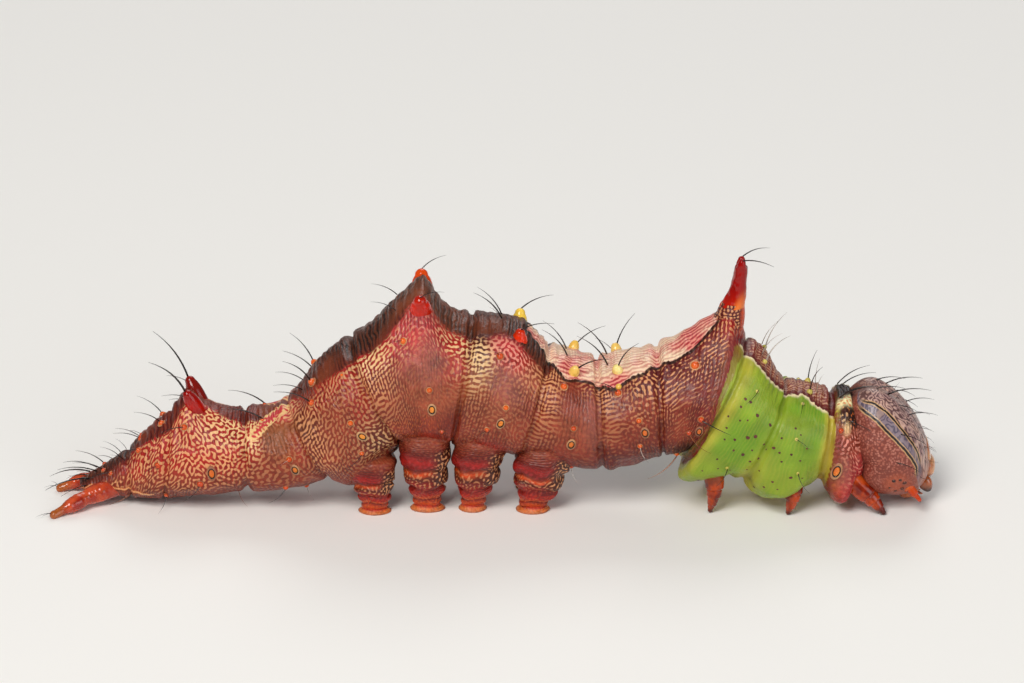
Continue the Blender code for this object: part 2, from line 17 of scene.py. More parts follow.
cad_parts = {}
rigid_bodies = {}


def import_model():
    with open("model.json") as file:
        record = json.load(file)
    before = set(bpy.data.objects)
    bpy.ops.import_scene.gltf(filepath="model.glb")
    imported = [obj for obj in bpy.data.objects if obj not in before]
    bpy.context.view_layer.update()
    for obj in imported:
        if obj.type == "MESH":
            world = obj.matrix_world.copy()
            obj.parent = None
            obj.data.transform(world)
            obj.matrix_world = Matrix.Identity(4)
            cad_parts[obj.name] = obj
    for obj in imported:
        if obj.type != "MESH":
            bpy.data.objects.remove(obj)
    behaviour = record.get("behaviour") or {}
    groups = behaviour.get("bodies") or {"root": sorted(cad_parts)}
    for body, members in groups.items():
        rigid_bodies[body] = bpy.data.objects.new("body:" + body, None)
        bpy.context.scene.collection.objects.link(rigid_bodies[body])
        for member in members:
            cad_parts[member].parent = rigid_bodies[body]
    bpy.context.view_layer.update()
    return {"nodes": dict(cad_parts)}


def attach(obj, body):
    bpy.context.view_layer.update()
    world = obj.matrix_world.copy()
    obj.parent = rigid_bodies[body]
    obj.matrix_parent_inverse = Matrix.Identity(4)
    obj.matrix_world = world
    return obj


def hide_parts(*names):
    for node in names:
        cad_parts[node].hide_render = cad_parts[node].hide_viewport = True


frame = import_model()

MM = 0.001
print("solid nodes:", len(frame["nodes"]))

# %% [markdown]
# ## Camera, floor and light
# A larva this small is photographed through a macro lens from close by. A long lens from 145 mm
# keeps the perspective flat. The camera faces the animal's right side, from 22 degrees above.
# A pale floor and three large soft lamps stand in for a studio table: small lamps would give the
# wet skin hard white sparks.

# %% Camera
ELEVATION = math.radians(22)
AIM = Vector((0.627, 0.0, 5.795))
DISTANCE = 144.6  # from the aim to the lens
camera = bpy.data.objects.new("camera", bpy.data.cameras.new("camera"))
bpy.context.scene.collection.objects.link(camera)
camera.data.lens = 150
camera.data.sensor_width = 36
camera.data.clip_start = 0.01
away = Vector((0, -math.cos(ELEVATION), math.sin(ELEVATION)))
camera.location = (AIM + away * DISTANCE) * MM
camera.rotation_euler = (-away).to_track_quat("-Z", "Y").to_euler()
bpy.context.scene.camera = camera
print("camera at", [round(c, 4) for c in camera.location])


# %% Floor and lamps
DEEPER = 1.16  # makes every paint a little deeper, to make up for the shine on it


def on_screen(colour):
    """Screen colour values, 0 to 255, as linear paint."""
    c = np.asarray(colour, float) / 255
    return tuple(np.where(c <= 0.04045, c / 12.92, ((c + 0.055) / 1.055) ** 2.4) ** DEEPER)


paper = bpy.data.materials.new("table paper")
paper.use_nodes = True
paper_shader = paper.node_tree.nodes["Principled BSDF"]
paper_shader.inputs["Base Color"].default_value = (*on_screen((246, 244, 240)), 1)
paper_shader.inputs["Roughness"].default_value = 0.9
floor_mesh = bpy.data.meshes.new("floor")
floor_mesh.from_pydata([(-1, -1, 0), (1, -1, 0), (1, 1, 0), (-1, 1, 0)], [], [(0, 1, 2, 3)])
floor = bpy.data.objects.new("floor", floor_mesh)
floor_mesh.materials.append(paper)
bpy.context.scene.collection.objects.link(floor)


def lamp(name, place, size, power, tint):
    """A square soft lamp that faces the larva. Place and size are in millimetres."""
    data = bpy.data.lights.new(name, "AREA")
    data.size = size * MM
    data.energy = power
    data.color = tint
    made = bpy.data.objects.new(name, data)
    made.location = Vector(place) * MM
    made.rotation_euler = (-(Vector(place) - AIM)).to_track_quat("-Z", "Y").to_euler()
    bpy.context.scene.collection.objects.link(made)


lamp("key lamp", (-90, -190, 220), 130, 0.72, (1, 0.98, 0.95))
lamp("fill lamp", (180, -160, 90), 160, 0.2, (0.95, 0.97, 1))
lamp("back lamp", (30, 200, 190), 150, 0.22, (1, 1, 1))
world = bpy.data.worlds.new("studio")
world.use_nodes = True
world.node_tree.nodes["Background"].inputs["Color"].default_value = (0.92, 0.95, 1, 1)
world.node_tree.nodes["Background"].inputs["Strength"].default_value = 0.16
bpy.context.scene.world = world
bpy.context.scene.view_settings.view_transform = "Standard"  # keeps the paints as strong as they are given
print("floor and lamps set")

# %% [markdown]
# ## The shape of the trunk
# A larva's body is a soft tube of thirteen segments. Sculpting it by hand would lose the link to
# the solid pieces, so the same rule that shaped them is repeated here: a planar ring at each groove
# between two segments, a smooth curve through the rings, a swelling between the grooves, and humps.
# Any point of the skin then has two plain coordinates: its station, which counts segments from the
# tail, and its angle from the middle of the back.

# %% Rings, swellings and humps
GROOVES = [  # dorsal point (x, z), ventral point (x, z), half width
    ((-14.05, 0.72), (-13.90, 0.20), 0.42),
    ((-12.55, 1.78), (-12.40, 0.14), 0.95),
    ((-11.00, 3.10), (-11.25, 0.12), 1.42),
    ((-8.50, 3.25), (-8.40, 0.50), 1.62),
    ((-7.05, 3.65), (-5.50, 1.10), 1.85),
    ((-4.90, 5.85), (-3.00, 2.30), 2.15),
    ((-0.70, 6.70), (-1.50, 2.20), 2.30),
    ((1.90, 5.55), (0.80, 1.85), 2.22),
    ((3.50, 5.10), (3.70, 1.38), 2.12),
    ((5.50, 5.50), (5.80, 1.85), 2.10),
    ((8.60, 5.75), (6.50, 1.95), 2.10),
    ((9.95, 4.30), (8.40, 1.00), 2.05),
    ((11.50, 3.85), (11.05, 0.75), 1.75),
    ((12.25, 3.80), (12.45, 0.65), 1.48),
]
SEGMENTS = ["A10", "A9", "A8", "A7", "A6", "A5", "A4", "A3", "A2", "A1", "T3", "T2", "T1"]
SWELL = [  # on the back, at the sides and underneath, for each segment
    (0.02, 0.03, 0.0), (0.03, 0.04, 0.0), (0.0, 0.06, 0.0), (0.02, 0.08, 0.18), (0.06, 0.12, 0.0),
    (0.0, 0.12, 0.0), (0.12, 0.12, 0.0), (0.08, 0.10, 0.0), (0.05, 0.10, 0.0), (0.0, 0.08, 0.05),
    (0.06, 0.08, 0.05), (0.18, 0.08, 0.05), (0.28, 0.12, 0.05),
]
HUMPS = [  # station, angle, height, reach back and front, flat and foot angles, lean, power
    (2.28, 0, 0.75, 0.40, 0.62, 12, 62, (-0.15, 0, 1), 2.0),
    (5.58, 0, 1.48, 0.58, 0.31, 22, 74, (0.02, 0, 1), 1.9),
    (6.60, 0, 0.30, 0.45, 0.42, 25, 80, (0, 0, 1), 1.5),
    (9.82, 0, 1.28, 0.84, 0.18, 0, 60, (-0.06, 0, 1), 1.5),
    (4.45, 150, 0.55, 0.50, 0.50, 25, 90, (-0.2, 0, -1), 1.0),
    (10.22, 140, 0.95, 0.32, 0.55, 12, 55, (-0.7, 0.3, -1), 1.0),
    (11.38, 138, 0.57, 0.45, 0.5, 10, 50, (-0.1, 0.35, -1), 1.0),
    (12.45, 135, 0.60, 0.45, 0.5, 10, 45, (0, 0.35, -1), 1.0),
]
print("segments:", len(SEGMENTS), "humps:", len(HUMPS))


# %% From station and angle to a point of the skin
def through(values, station):
    """A smooth curve through one value for each groove, read at any station."""
    values = np.asarray(values, float)
    ends = [2 * values[0] - values[1]], [2 * values[-1] - values[-2]]
    padded = np.concatenate([ends[0], values, ends[1]])
    first = np.clip(np.floor(station).astype(int), 0, len(values) - 2)
    t = station - first
    before, start, end, after = (padded[first + step] for step in range(4))
    if values.ndim > 1:
        t = t[..., None]
    square = 2 * before - 5 * start + 4 * end - after
    cube = 3 * start - before - 3 * end + after
    return 0.5 * (2 * start + (end - before) * t + square * t**2 + cube * t**3)


def eased(x):
    """0 below 0, 1 above 1, with a soft start and end."""
    x = np.clip(x, 0, 1)
    return x * x * (3 - 2 * x)


def hump_amount(hump, side, station, angle):
    """How far this hump lifts the skin."""
    place, turn, height, back, front, flat, foot, _, power = hump
    away_ = np.maximum((place - station) / back, (station - place) / front)
    away_ = np.sqrt(away_ * away_ + 0.01) - 0.1
    ridge = eased(1 - away_) if power == 1.0 else np.clip(1 - away_, 0, 1) ** power
    turn = angle - side * math.radians(turn)
    off = np.degrees(np.abs(np.arctan2(np.sin(turn), np.cos(turn))))
    return height * ridge * eased((foot - off) / (foot - flat))


def trunk_point(station, angle):
    """A point of the plain trunk, the angle in radians from the middle of the back."""
    station, angle = np.broadcast_arrays(np.asarray(station, float), np.asarray(angle, float))
    top = through([groove[0] for groove in GROOVES], station)
    low = through([groove[1] for groove in GROOVES], station)
    wide = through([groove[2] for groove in GROOVES], station)
    segment = np.clip(np.floor(station).astype(int), 0, len(SEGMENTS) - 1)
    swell = np.array(SWELL)[segment]
    bulge = 1 - np.abs(2 * (station - segment) - 1) ** 2.5
    up, out = np.cos(angle), np.sin(angle)
    middle, arm = (top + low) / 2, (top - low) / 2
    more = 1 + np.where(up > 0, swell[..., 0], swell[..., 2]) * bulge / np.linalg.norm(arm, axis=-1)
    x = middle[..., 0] + arm[..., 0] * up * more
    z = middle[..., 1] + arm[..., 1] * up * more
    y = (wide + swell[..., 1] * bulge) * out
    for hump in HUMPS:
        turn, lean = hump[1], Vector(hump[7]).normalized()
        for side in (1,) if turn == 0 else (1, -1):
            amount = hump_amount(hump, side, station, angle)
            x = x + lean.x * amount
            y = y + side * lean.y * amount
            z = z + lean.z * amount
    return np.stack([x, y, z], -1)


def trunk_normal(station, angle):
    """The outward direction of the skin there."""
    small = 0.01
    along = trunk_point(station + small, angle) - trunk_point(station - small, angle)
    round_ = trunk_point(station, angle + small) - trunk_point(station, angle - small)
    normal = np.cross(along, round_)
    return normal / np.linalg.norm(normal, axis=-1, keepdims=True)


print("top of the A5 hump:", trunk_point(5.58, 0).round(2))

# %% [markdown]
# ## A map of the skin
# The markings follow the body, so they need coordinates that lie on the skin like a tape measure:
# u runs along the body and v round it from the middle of the back, both in millimetres. The usual
# way is to unwrap the mesh. Here the skin follows a rule, so the map is simply worked out, and every
# pattern keeps its true size.

# %% Lengths along and round the body
TAPE = np.linspace(0, len(SEGMENTS), 1301)
steps = [np.linalg.norm(np.diff(trunk_point(TAPE, math.radians(a)), axis=0), axis=1) for a in (0, 60, 100)]
TAPE_ALONG = np.concatenate([[0], np.cumsum(np.mean(steps, axis=0))])
TURNS = np.linspace(0, math.pi, 181)
ring = trunk_point(TAPE[::10, None], TURNS[None])
steps_round = np.linalg.norm(np.diff(ring, axis=1), axis=2)
ROUND_TAPE = np.hstack([np.zeros((len(ring), 1)), np.cumsum(steps_round, axis=1)])


def skin_map(station, degrees):
    """(u, v) in millimetres for a station and degrees from the middle of the back, 0 to 180."""
    station, degrees = np.broadcast_arrays(np.asarray(station, float), np.asarray(degrees, float))
    row = np.clip(station * 10, 0, len(ROUND_TAPE) - 1)
    column = np.clip(degrees, 0, 180)
    r0, c0 = np.floor(row).astype(int), np.floor(column).astype(int)
    r1, c1 = np.minimum(r0 + 1, len(ROUND_TAPE) - 1), np.minimum(c0 + 1, 180)
    fr, fc = row - r0, column - c0
    low = ROUND_TAPE[r0, c0] * (1 - fc) + ROUND_TAPE[r0, c1] * fc
    high = ROUND_TAPE[r1, c0] * (1 - fc) + ROUND_TAPE[r1, c1] * fc
    return np.interp(station, TAPE, TAPE_ALONG), low * (1 - fr) + high * fr


print("length along the skin:", round(float(TAPE_ALONG[-1]), 1), "mm")

# %% [markdown]
# ## Folds in the skin
# Between two segments the soft skin folds in, and each segment carries finer ring folds, deepest
# where the back is dark. These folds are real relief in the mesh, so they show in the outline too.
# Only the finest lines are left to the material, because the mesh would need millions of faces.
# A field of summed waves with a fixed seed gives the uneven swelling of living tissue.

# %% Relief of the trunk
GROOVE_DEPTH = [0.10, 0.12, 0.16, 0.12, 0.16, 0.17, 0.14, 0.16, 0.15, 0.14, 0.13, 0.15]
GROOVE_WIDTH = 0.085
LIP_HEIGHT, LIP_AWAY, LIP_WIDTH = 0.035, 0.22, 0.12  # the low swelling on both sides of a groove
BACK_RIB, PALE_RIB, FLANK_RIB = 0.27, 0.55, 0.42  # from one ring fold to the next
WAVES = 28  # plain waves that make one random field


def rolling(points, size, seed):
    """A smooth random field of about unit height that changes over the given size."""
    dice = np.random.default_rng(seed)
    waves = dice.normal(size=(WAVES, points.shape[-1]))
    waves *= (2 * math.pi / size) / np.linalg.norm(waves, axis=1, keepdims=True)
    waves *= dice.uniform(0.6, 1.4, (WAVES, 1))
    return np.cos(points @ waves.T + dice.uniform(0, 2 * math.pi, WAVES)).sum(-1) / math.sqrt(WAVES / 2)


DARK_BACK = [  # station, and the degrees from mid back where the dark wrinkled skin ends
    (0.0, 14), (0.92, 18), (1.4, 30), (1.85, 38), (2.13, 30), (2.35, 16), (2.51, 10), (2.71, 18),
    (2.95, 24), (3.36, 24), (3.69, 14), (4.0, 8), (4.27, 20), (4.54, 31), (4.75, 35), (4.89, 38), (5.0, 33),
    (5.17, 35), (5.3, 35), (5.4, 31), (5.49, 26), (5.6, 23), (5.76, 27), (5.98, 27), (6.19, 26), (6.36, 22),
    (6.56, 28), (6.7, 34), (7.02, 36), (7.15, 20), (7.3, 0), (13.0, 0),
]


def dark_share(station, degrees, soft=4):
    """1 on the dark back, 0 below it."""
    edge = np.interp(station, *np.transpose(DARK_BACK))
    return eased((edge - degrees) / soft + 0.5)


def relief(station, degrees, points):
    """How far the skin stands off the plain trunk, in millimetres."""
    u, v = skin_map(station, degrees)
    height = 0.018 * rolling(points, 1.3, 3) + 0.006 * rolling(points, 0.4, 4)
    for number, depth in enumerate(GROOVE_DEPTH, 1):
        away_ = np.abs(u - np.interp(number, TAPE, TAPE_ALONG)) + 0.02 * rolling(points, 0.9, 40 + number)
        height -= depth * np.exp(-((away_ / GROOVE_WIDTH) ** 2))
        height += LIP_HEIGHT * np.exp(-(((away_ - LIP_AWAY) / LIP_WIDTH) ** 2))
    back = np.maximum(dark_share(station, degrees, 14), eased((46 - degrees) / 12) * (station > 10))
    ribs = np.cos(2 * math.pi * (u + 0.03 * rolling(points, 1.0, 5)) / BACK_RIB)
    height += back * 0.026 * (ribs - 0.35 * ribs**2)
    broad = np.cos(2 * math.pi * (u + 0.06 * rolling(points, 1.4, 6)) / PALE_RIB)
    pale = eased((42 - degrees) / 10) * (station > 7.1) * (station < 9.6)
    height += pale * 0.022 * broad
    flank = eased((degrees - 40) / 20) * eased((150 - degrees) / 20)
    height += flank * 0.010 * np.cos(2 * math.pi * (u + 0.08 * rolling(points, 1.6, 7)) / FLANK_RIB)
    return height


LOBES = [  # soft swellings of the flank: station, degrees, reach in stations and degrees, height
    (9.55, 138, 0.22, 16, 0.13), (9.2, 134, 0.2, 14, 0.08), (8.12, 140, 0.14, 14, 0.13),
    (8.45, 150, 0.16, 14, 0.1), (7.75, 140, 0.2, 16, 0.1), (3.45, 128, 0.35, 14, 0.1),
    (2.45, 118, 0.4, 12, 0.08), (1.5, 120, 0.4, 12, 0.06), (9.75, 98, 0.13, 12, 0.1),
    (10.6, 128, 0.3, 12, 0.1), (11.5, 124, 0.28, 12, 0.1), (12.4, 92, 0.3, 14, 0.12),
    (12.5, 126, 0.28, 16, 0.12), (12.45, 40, 0.25, 14, 0.08), (5.65, 122, 0.22, 14, 0.08),
    (6.6, 122, 0.22, 14, 0.08), (7.55, 120, 0.22, 14, 0.08), (4.7, 118, 0.22, 12, 0.07),
]


def lobes(station, degrees):
    """Height of the soft swellings there."""
    height = np.zeros(np.broadcast(station, degrees).shape)
    for place, turn, reach, spread, rise in LOBES:
        height += rise * np.exp(-(((station - place) / reach) ** 2) - ((degrees - turn) / spread) ** 2)
    return height


def skin_point(station, angle):
    """A point of the finished trunk skin, and the way it faces."""
    plain, normal = trunk_point(station, angle), trunk_normal(station, angle)
    degrees = np.degrees(np.abs(angle)) * np.ones(plain.shape[:-1])
    stations = station * np.ones(plain.shape[:-1])
    rise = relief(stations, degrees, plain) + lobes(stations, degrees)
    rise -= 0.05 * eased((degrees - 150) / 20)  # the belly lies a little flatter
    return plain + normal * rise[..., None], normal


print("folds at groove A5 to A6:", GROOVE_DEPTH[4], "mm deep")

# %% [markdown]
# ## One skin for trunk and prolegs
# The solid nodes stop short of each other, but a larva's skin is one continuous bag. The trunk is
# woven as a grid of rings, each proleg as a tube with ring folds, and a Boolean union joins them.
# A Boolean leaves hard creases where tubes meet, so the points near each crease are relaxed after
# it, which gives the soft inner corner that real skin has.

# %% Weave the trunk
RINGS, AROUND = 404, 172
END_RINGS = 5  # rings of the dome that closes each end


class Weave:
    """Points of a tube with the map coordinates of each, ready to become one mesh."""

    def __init__(self, kind):
        self.kind = kind
        self.points, self.faces, self.station, self.turn, self.u, self.v = [], [], [], [], [], []

    def add_rings(self, points, station, turn, u, v):
        """Points as rows of rings. The other values may be given for all, for each row or for each turn."""
        self.points = points.reshape(-1, 3)
        flat = [(values * np.ones(points.shape[:2])).ravel() for values in (station, turn, u, v)]
        self.station, self.turn, self.u, self.v = flat
        rows, count = points.shape[:2]
        a = np.arange(rows - 1)[:, None] * count + np.arange(count)[None]
        b = np.arange(rows - 1)[:, None] * count + (np.arange(count)[None] + 1) % count
        self.faces = np.stack([a, b, b + count, a + count], -1).reshape(-1, 4).tolist()
        for first, order in ((0, -1), ((rows - 1) * count, 1)):
            ring_ = list(range(first, first + count))[::order]
            middle = len(self.points)
            self.points = np.vstack([self.points, self.points[ring_].mean(0)])
            for name in ("station", "turn", "u", "v"):
                values = getattr(self, name)
                setattr(self, name, np.append(values, 0.0 if name in ("turn", "v") else values[ring_[0]]))
            self.faces += [(ring_[i], ring_[(i + 1) % count], middle) for i in range(count)]


def rounded_end(ring_, middle, way, reach, rows):
    """Extra rings that close a tube with a soft dome, from its end ring outwards."""
    turns = np.linspace(0, math.pi / 2, rows + 1)[1:] * 0.96
    return [middle + (ring_ - middle) * math.cos(t) + way * reach * math.sin(t) for t in turns]


stations = np.interp(np.linspace(0, TAPE_ALONG[-1], RINGS), TAPE_ALONG, TAPE)
angles = np.linspace(-math.pi, math.pi, AROUND, endpoint=False)
rows, _ = skin_point(stations[:, None], angles[None])
tail = rounded_end(rows[0], rows[0].mean(0), np.array((-0.97, 0, 0.25)), 0.22, END_RINGS)[::-1]
neck = rounded_end(rows[-1], rows[-1].mean(0), np.array((1.0, 0, 0.05)), 0.35, END_RINGS)
rows = np.concatenate([tail, rows, neck])
stations = np.concatenate([np.zeros(END_RINGS), stations, np.full(END_RINGS, len(SEGMENTS))])[:, None]
u, v = skin_map(stations, np.degrees(np.abs(angles)))
u[:END_RINGS] -= np.linspace(0.3, 0.05, END_RINGS)[:, None]
u[-END_RINGS:] += np.linspace(0.05, 0.3, END_RINGS)[:, None]
trunk = Weave("trunk")
trunk.add_rings(rows, stations, np.degrees(angles), u, v * np.where(angles < 0, -1, 1))
print("trunk:", len(trunk.points), "points")

# %% [markdown]
# ## Prolegs
# The four pairs of fleshy middle legs are tubes with a fat upper lobe, two or three ring folds and
# a wide soft sole that grips with tiny hooks. A tube whose radius follows a short table of folds
# is enough, because all their detail is rings.

# %% Weave the prolegs
PROLEGS = {  # middle of root and foot, half widths and depths at root, knee and foot
    "a3": ((1.85, 1.25, 2.70), (1.33, 0.95), (0.98, 0.86, 0.50), (0.78, 0.66, 0.42)),
    "a4": ((-0.42, 1.25, 3.00), (-0.72, 0.85), (0.84, 0.78, 0.42), (0.78, 0.68, 0.38)),
    "a5": ((-2.36, 1.25, 3.10), (-2.26, 0.85), (0.84, 0.76, 0.52), (0.78, 0.68, 0.38)),
    "a6": ((-4.12, 1.12, 2.15), (-4.05, 1.05), (0.80, 0.68, 0.48), (0.72, 0.56, 0.40)),
}
LEG_FOLDS = [  # share of the way down, swelling there as a share of the radius
    (0, 0.0), (0.16, 0.03), (0.3, 0.09), (0.42, 0.05), (0.475, -0.1), (0.53, 0.04), (0.6, 0.07),
    (0.655, -0.08), (0.7, 0.05), (0.75, 0.05), (0.79, -0.09), (0.83, 0.0), (0.87, 0.02), (0.905, -0.1),
    (0.945, 0.02), (0.975, 0.14), (0.99, 0.18), (1.0, 0.12),
]
LEG_ROWS, LEG_AROUND = 66, 40
LEG_DOME = 0.16  # share of the leg that is rounded off inside the body
LEG_MAP_FROM, LEG_GIRTH = 60, 0.62  # a place of its own on the skin map, and its usual radius


def one_turn(count):
    """Angles round a ring in radians, as one row."""
    return np.linspace(0, 2 * math.pi, count, endpoint=False)[None]


def half_turns(turn):
    """The same angles, counted from the front to both sides."""
    return np.where(turn > math.pi, turn - 2 * math.pi, turn)


def leg_weave(name, side):
    """One proleg, from its root inside the body down to its sole."""
    root, foot, widths, depths = PROLEGS[name]
    root = np.array((root[0], side * root[1], root[2]))
    foot = np.array((foot[0], side * foot[1], 0.0))
    share = np.linspace(0, 1, LEG_ROWS)[:, None]
    turn = one_turn(LEG_AROUND)
    middle = root + (foot - root) * (eased(share) * 0.35 + share * 0.65)
    shares, swellings = np.transpose(LEG_FOLDS)
    fold = 1 + through(swellings, np.interp(share, shares, range(len(shares))))
    fold *= 0.3 + 0.7 * np.sin(math.pi / 2 * np.clip(share / LEG_DOME, 0, 1)) ** 0.7
    half_x, half_y = (
        np.interp(share, (0, 0.5, 0.88, 1), (at_root, at_knee, 0.92 * at_foot, at_foot)) * fold
        for at_root, at_knee, at_foot in (widths, depths)
    )
    x = middle[:, None, 0] + half_x * np.cos(turn)
    y = middle[:, None, 1] + half_y * np.sin(turn) * side
    z = middle[:, None, 2] + 0 * x
    points = np.stack([x, y, z], -1)
    bump = 0.03 * rolling(points, 0.5, 11 + side) * np.sin(math.pi * share) ** 0.5
    points[..., 0] += bump * np.cos(turn)
    points[..., 1] += bump * np.sin(turn) * side
    points[..., 2] += (0.05 * rolling(points, 0.9, 21 + side) * (share < 0.9)) * np.sin(math.pi * share)
    if side < 0:
        points, turn = points[:, ::-1], turn[:, ::-1]
    made = Weave(name + ("l" if side > 0 else "r"))
    map_u = LEG_MAP_FROM + share * np.linalg.norm(foot - root)
    made.add_rings(points, share, np.degrees(turn), map_u, half_turns(turn) * LEG_GIRTH)
    return made


legs = [leg_weave(name, side) for name in PROLEGS for side in (1, -1)]
print("prolegs:", len(legs), "with", len(legs[0].points), "points each")

# %% [markdown]
# The hump of A1 runs up into a stub of the same brown skin, and the red horn stands on it.

# %% Weave the stub under the horn
HORN_RINGS = [  # height, x of the middle, half width along x and across
    (6.10, 7.92, 0.52, 0.72), (6.75, 8.00, 0.50, 0.58), (7.10, 8.06, 0.43, 0.47),
    (7.45, 8.18, 0.33, 0.37), (7.80, 8.26, 0.27, 0.31), (8.20, 8.31, 0.23, 0.28), (8.55, 8.34, 0.21, 0.27),
]
STUB_STATION, STUB_MAP_FROM = 9.8, 20


def horn_rings(low, high, rows_, around, grow=0.0):
    """Rings of the horn between two heights."""
    z = np.linspace(low, high, rows_)[:, None]
    turn = one_turn(around)
    heights, x, half_x, half_y = np.transpose(HORN_RINGS)
    number = np.interp(z, heights, range(len(heights)))
    x, half_x, half_y = (through(values, number) for values in (x, half_x, half_y))
    points = [x + (half_x + grow) * np.cos(turn), (half_y + grow) * np.sin(turn), z + 0 * turn]
    return np.stack(points, -1), turn


points, turn = horn_rings(5.9, 7.25, 24, 44)
stub = Weave("stub")
stub.add_rings(points, STUB_STATION, 0.0, STUB_MAP_FROM + points[..., 2], half_turns(turn) * 0.5)
print("stub:", len(stub.points), "points")


# %% Join them into one skin
def mesh_object(name, points, faces):
    """A new object from points in millimetres, its faces turned outwards."""
    mesh = bpy.data.meshes.new(name)
    mesh.from_pydata((np.asarray(points, float) * MM).tolist(), [], faces)
    work = bmesh.new()
    work.from_mesh(mesh)
    bmesh.ops.recalc_face_normals(work, faces=work.faces)
    work.to_mesh(mesh)
    work.free()
    mesh.shade_smooth()
    made = bpy.data.objects.new(name, mesh)
    bpy.context.scene.collection.objects.link(made)
    return made


def plain_mesh(obj):
    """Works out the object's modifiers, keeps the result as its mesh and drops them."""
    graph = bpy.context.evaluated_depsgraph_get()
    result = bpy.data.meshes.new_from_object(obj.evaluated_get(graph))
    obj.modifiers.clear()
    old, obj.data = obj.data, result
    result.name = obj.name
    bpy.data.meshes.remove(old)
    return obj


def removed(obj):
    """Deletes an object and its mesh."""
    mesh = obj.data
    bpy.data.objects.remove(obj)
    bpy.data.meshes.remove(mesh)


def united(obj, others):
    """The object joined with other closed shapes."""
    for other in others:
        modifier = obj.modifiers.new("join", "BOOLEAN")
        modifier.operation = "UNION"
        modifier.object = other
        modifier.solver = "MANIFOLD"
    plain_mesh(obj)
    for other in others:
        removed(other)
    return obj


weaves = [trunk, *legs, stub]
parts = [mesh_object(weave.kind, weave.points, weave.faces) for weave in weaves]
skin = united(parts[0], parts[1:])
skin.name = "skin"
print("skin:", len(skin.data.vertices), "points,", len(skin.data.polygons), "faces")


# %% Carry the map over to the joined skin
def points_of(mesh):
    """The points of a mesh in millimetres, one to a row."""
    flat = np.empty(len(mesh.vertices) * 3)
    mesh.vertices.foreach_get("co", flat)
    return flat.reshape(-1, 3) / MM


def tree_of(points):
    """A tree that finds the nearest of these points."""
    tree = KDTree(len(points))
    for i, point in enumerate(points):
        tree.insert(point, i)
    tree.balance()
    return tree


def nearest_in(trees, place):
    """Distance and number of the nearest point, and number of the tree, for each tree."""
    found = [tree.find(place) for tree in trees]
    return [(away_, number, k) for k, (_, number, away_) in enumerate(found)]


def read(items, name, width=1):
    """One whole-number value of every item of a mesh."""
    values = np.empty(len(items) * width, int)
    items.foreach_get(name, values)
    return values


MOVED, MOVED_FAR = 1e-4, 1e-3  # off the trunk's own points, and off every weave's points
trees = [tree_of(weave.points) for weave in weaves]
places = points_of(skin.data)
owner = np.zeros(len(places), int)
source = np.zeros(len(places), int)
crease = np.zeros(len(places), bool)
for i, place in enumerate(places):
    away_, source[i], owner[i] = nearest_in(trees[:1], place)[0]
    if away_ > MOVED:
        away_, source[i], owner[i] = min(nearest_in(trees, place))
        crease[i] = away_ > MOVED_FAR
print("points on creases:", int(crease.sum()))

mesh = skin.data
loops = read(mesh.loops, "vertex_index")
starts, totals = read(mesh.polygons, "loop_start"), read(mesh.polygons, "loop_total")
LEG_KINDS = range(1, len(weaves) - 1)
FINER_ON_LEGS = 1.35
layer = mesh.uv_layers.new(name="SkinMap")
uv = np.zeros((len(loops), 2))
for start, total in zip(starts, totals):
    corners = loops[start:start + total]
    owners = owner[corners]
    kinds = owners[~crease[corners]] if (~crease[corners]).any() else owners
    kind = int(np.bincount(kinds).argmax())
    weave = weaves[kind]
    finer = FINER_ON_LEGS if kind in LEG_KINDS else 1
    for c, corner in enumerate(corners):
        found = source[corner] if owners[c] == kind else trees[kind].find(places[corner])[1]
        uv[start + c] = np.array((weave.u[found], weave.v[found])) * finer
    around = uv[start:start + total, 1]
    if around.max() - around.min() > 1.0 + 0.5 * np.abs(around).max():
        girth = 2 * np.abs(around).max()
        uv[start:start + total, 1] = np.where(around < 0, around + girth, around)
layer.data.foreach_set("uv", uv.ravel())
print("map laid on", len(starts), "faces")


# %% Relax the creases
SOFT_REACH, SOFT_STEP, SOFT_ROUNDS = 0.22, 0.55, 9
edges = read(mesh.edges, "vertices", 2).reshape(-1, 2)
near = tree_of(places[crease])
reach = np.array([near.find(place)[2] for place in places])
soft = SOFT_STEP * eased(1 - reach / SOFT_REACH)[:, None]
degree = np.bincount(edges.ravel(), minlength=len(places))[:, None]
for _ in range(SOFT_ROUNDS):
    total = np.zeros_like(places)
    for k in range(3):
        total[:, k] = np.bincount(edges[:, 0], places[edges[:, 1], k], len(places))
        total[:, k] += np.bincount(edges[:, 1], places[edges[:, 0], k], len(places))
    places += soft * (total / degree - places)
places[:, 2] = np.maximum(places[:, 2], 0)
mesh.vertices.foreach_set("co", (places * MM).ravel())
mesh.update()
mesh.shade_smooth()
print("relaxed", int((soft > 0).sum()), "points")

# %% [markdown]
# ## Markings as areas on the map
# This species' markings are a labyrinth of cream worm lines on dark red, a dark wrinkled back, a
# pale saddle, a slanted dash on A7 and a plain green middle of the thorax. Sharp borders are kept as
# distances: each point of the skin stores how far inside an area it lies, and the material turns
# that into a crisp edge. A painted image would need many more pixels for the same sharpness.

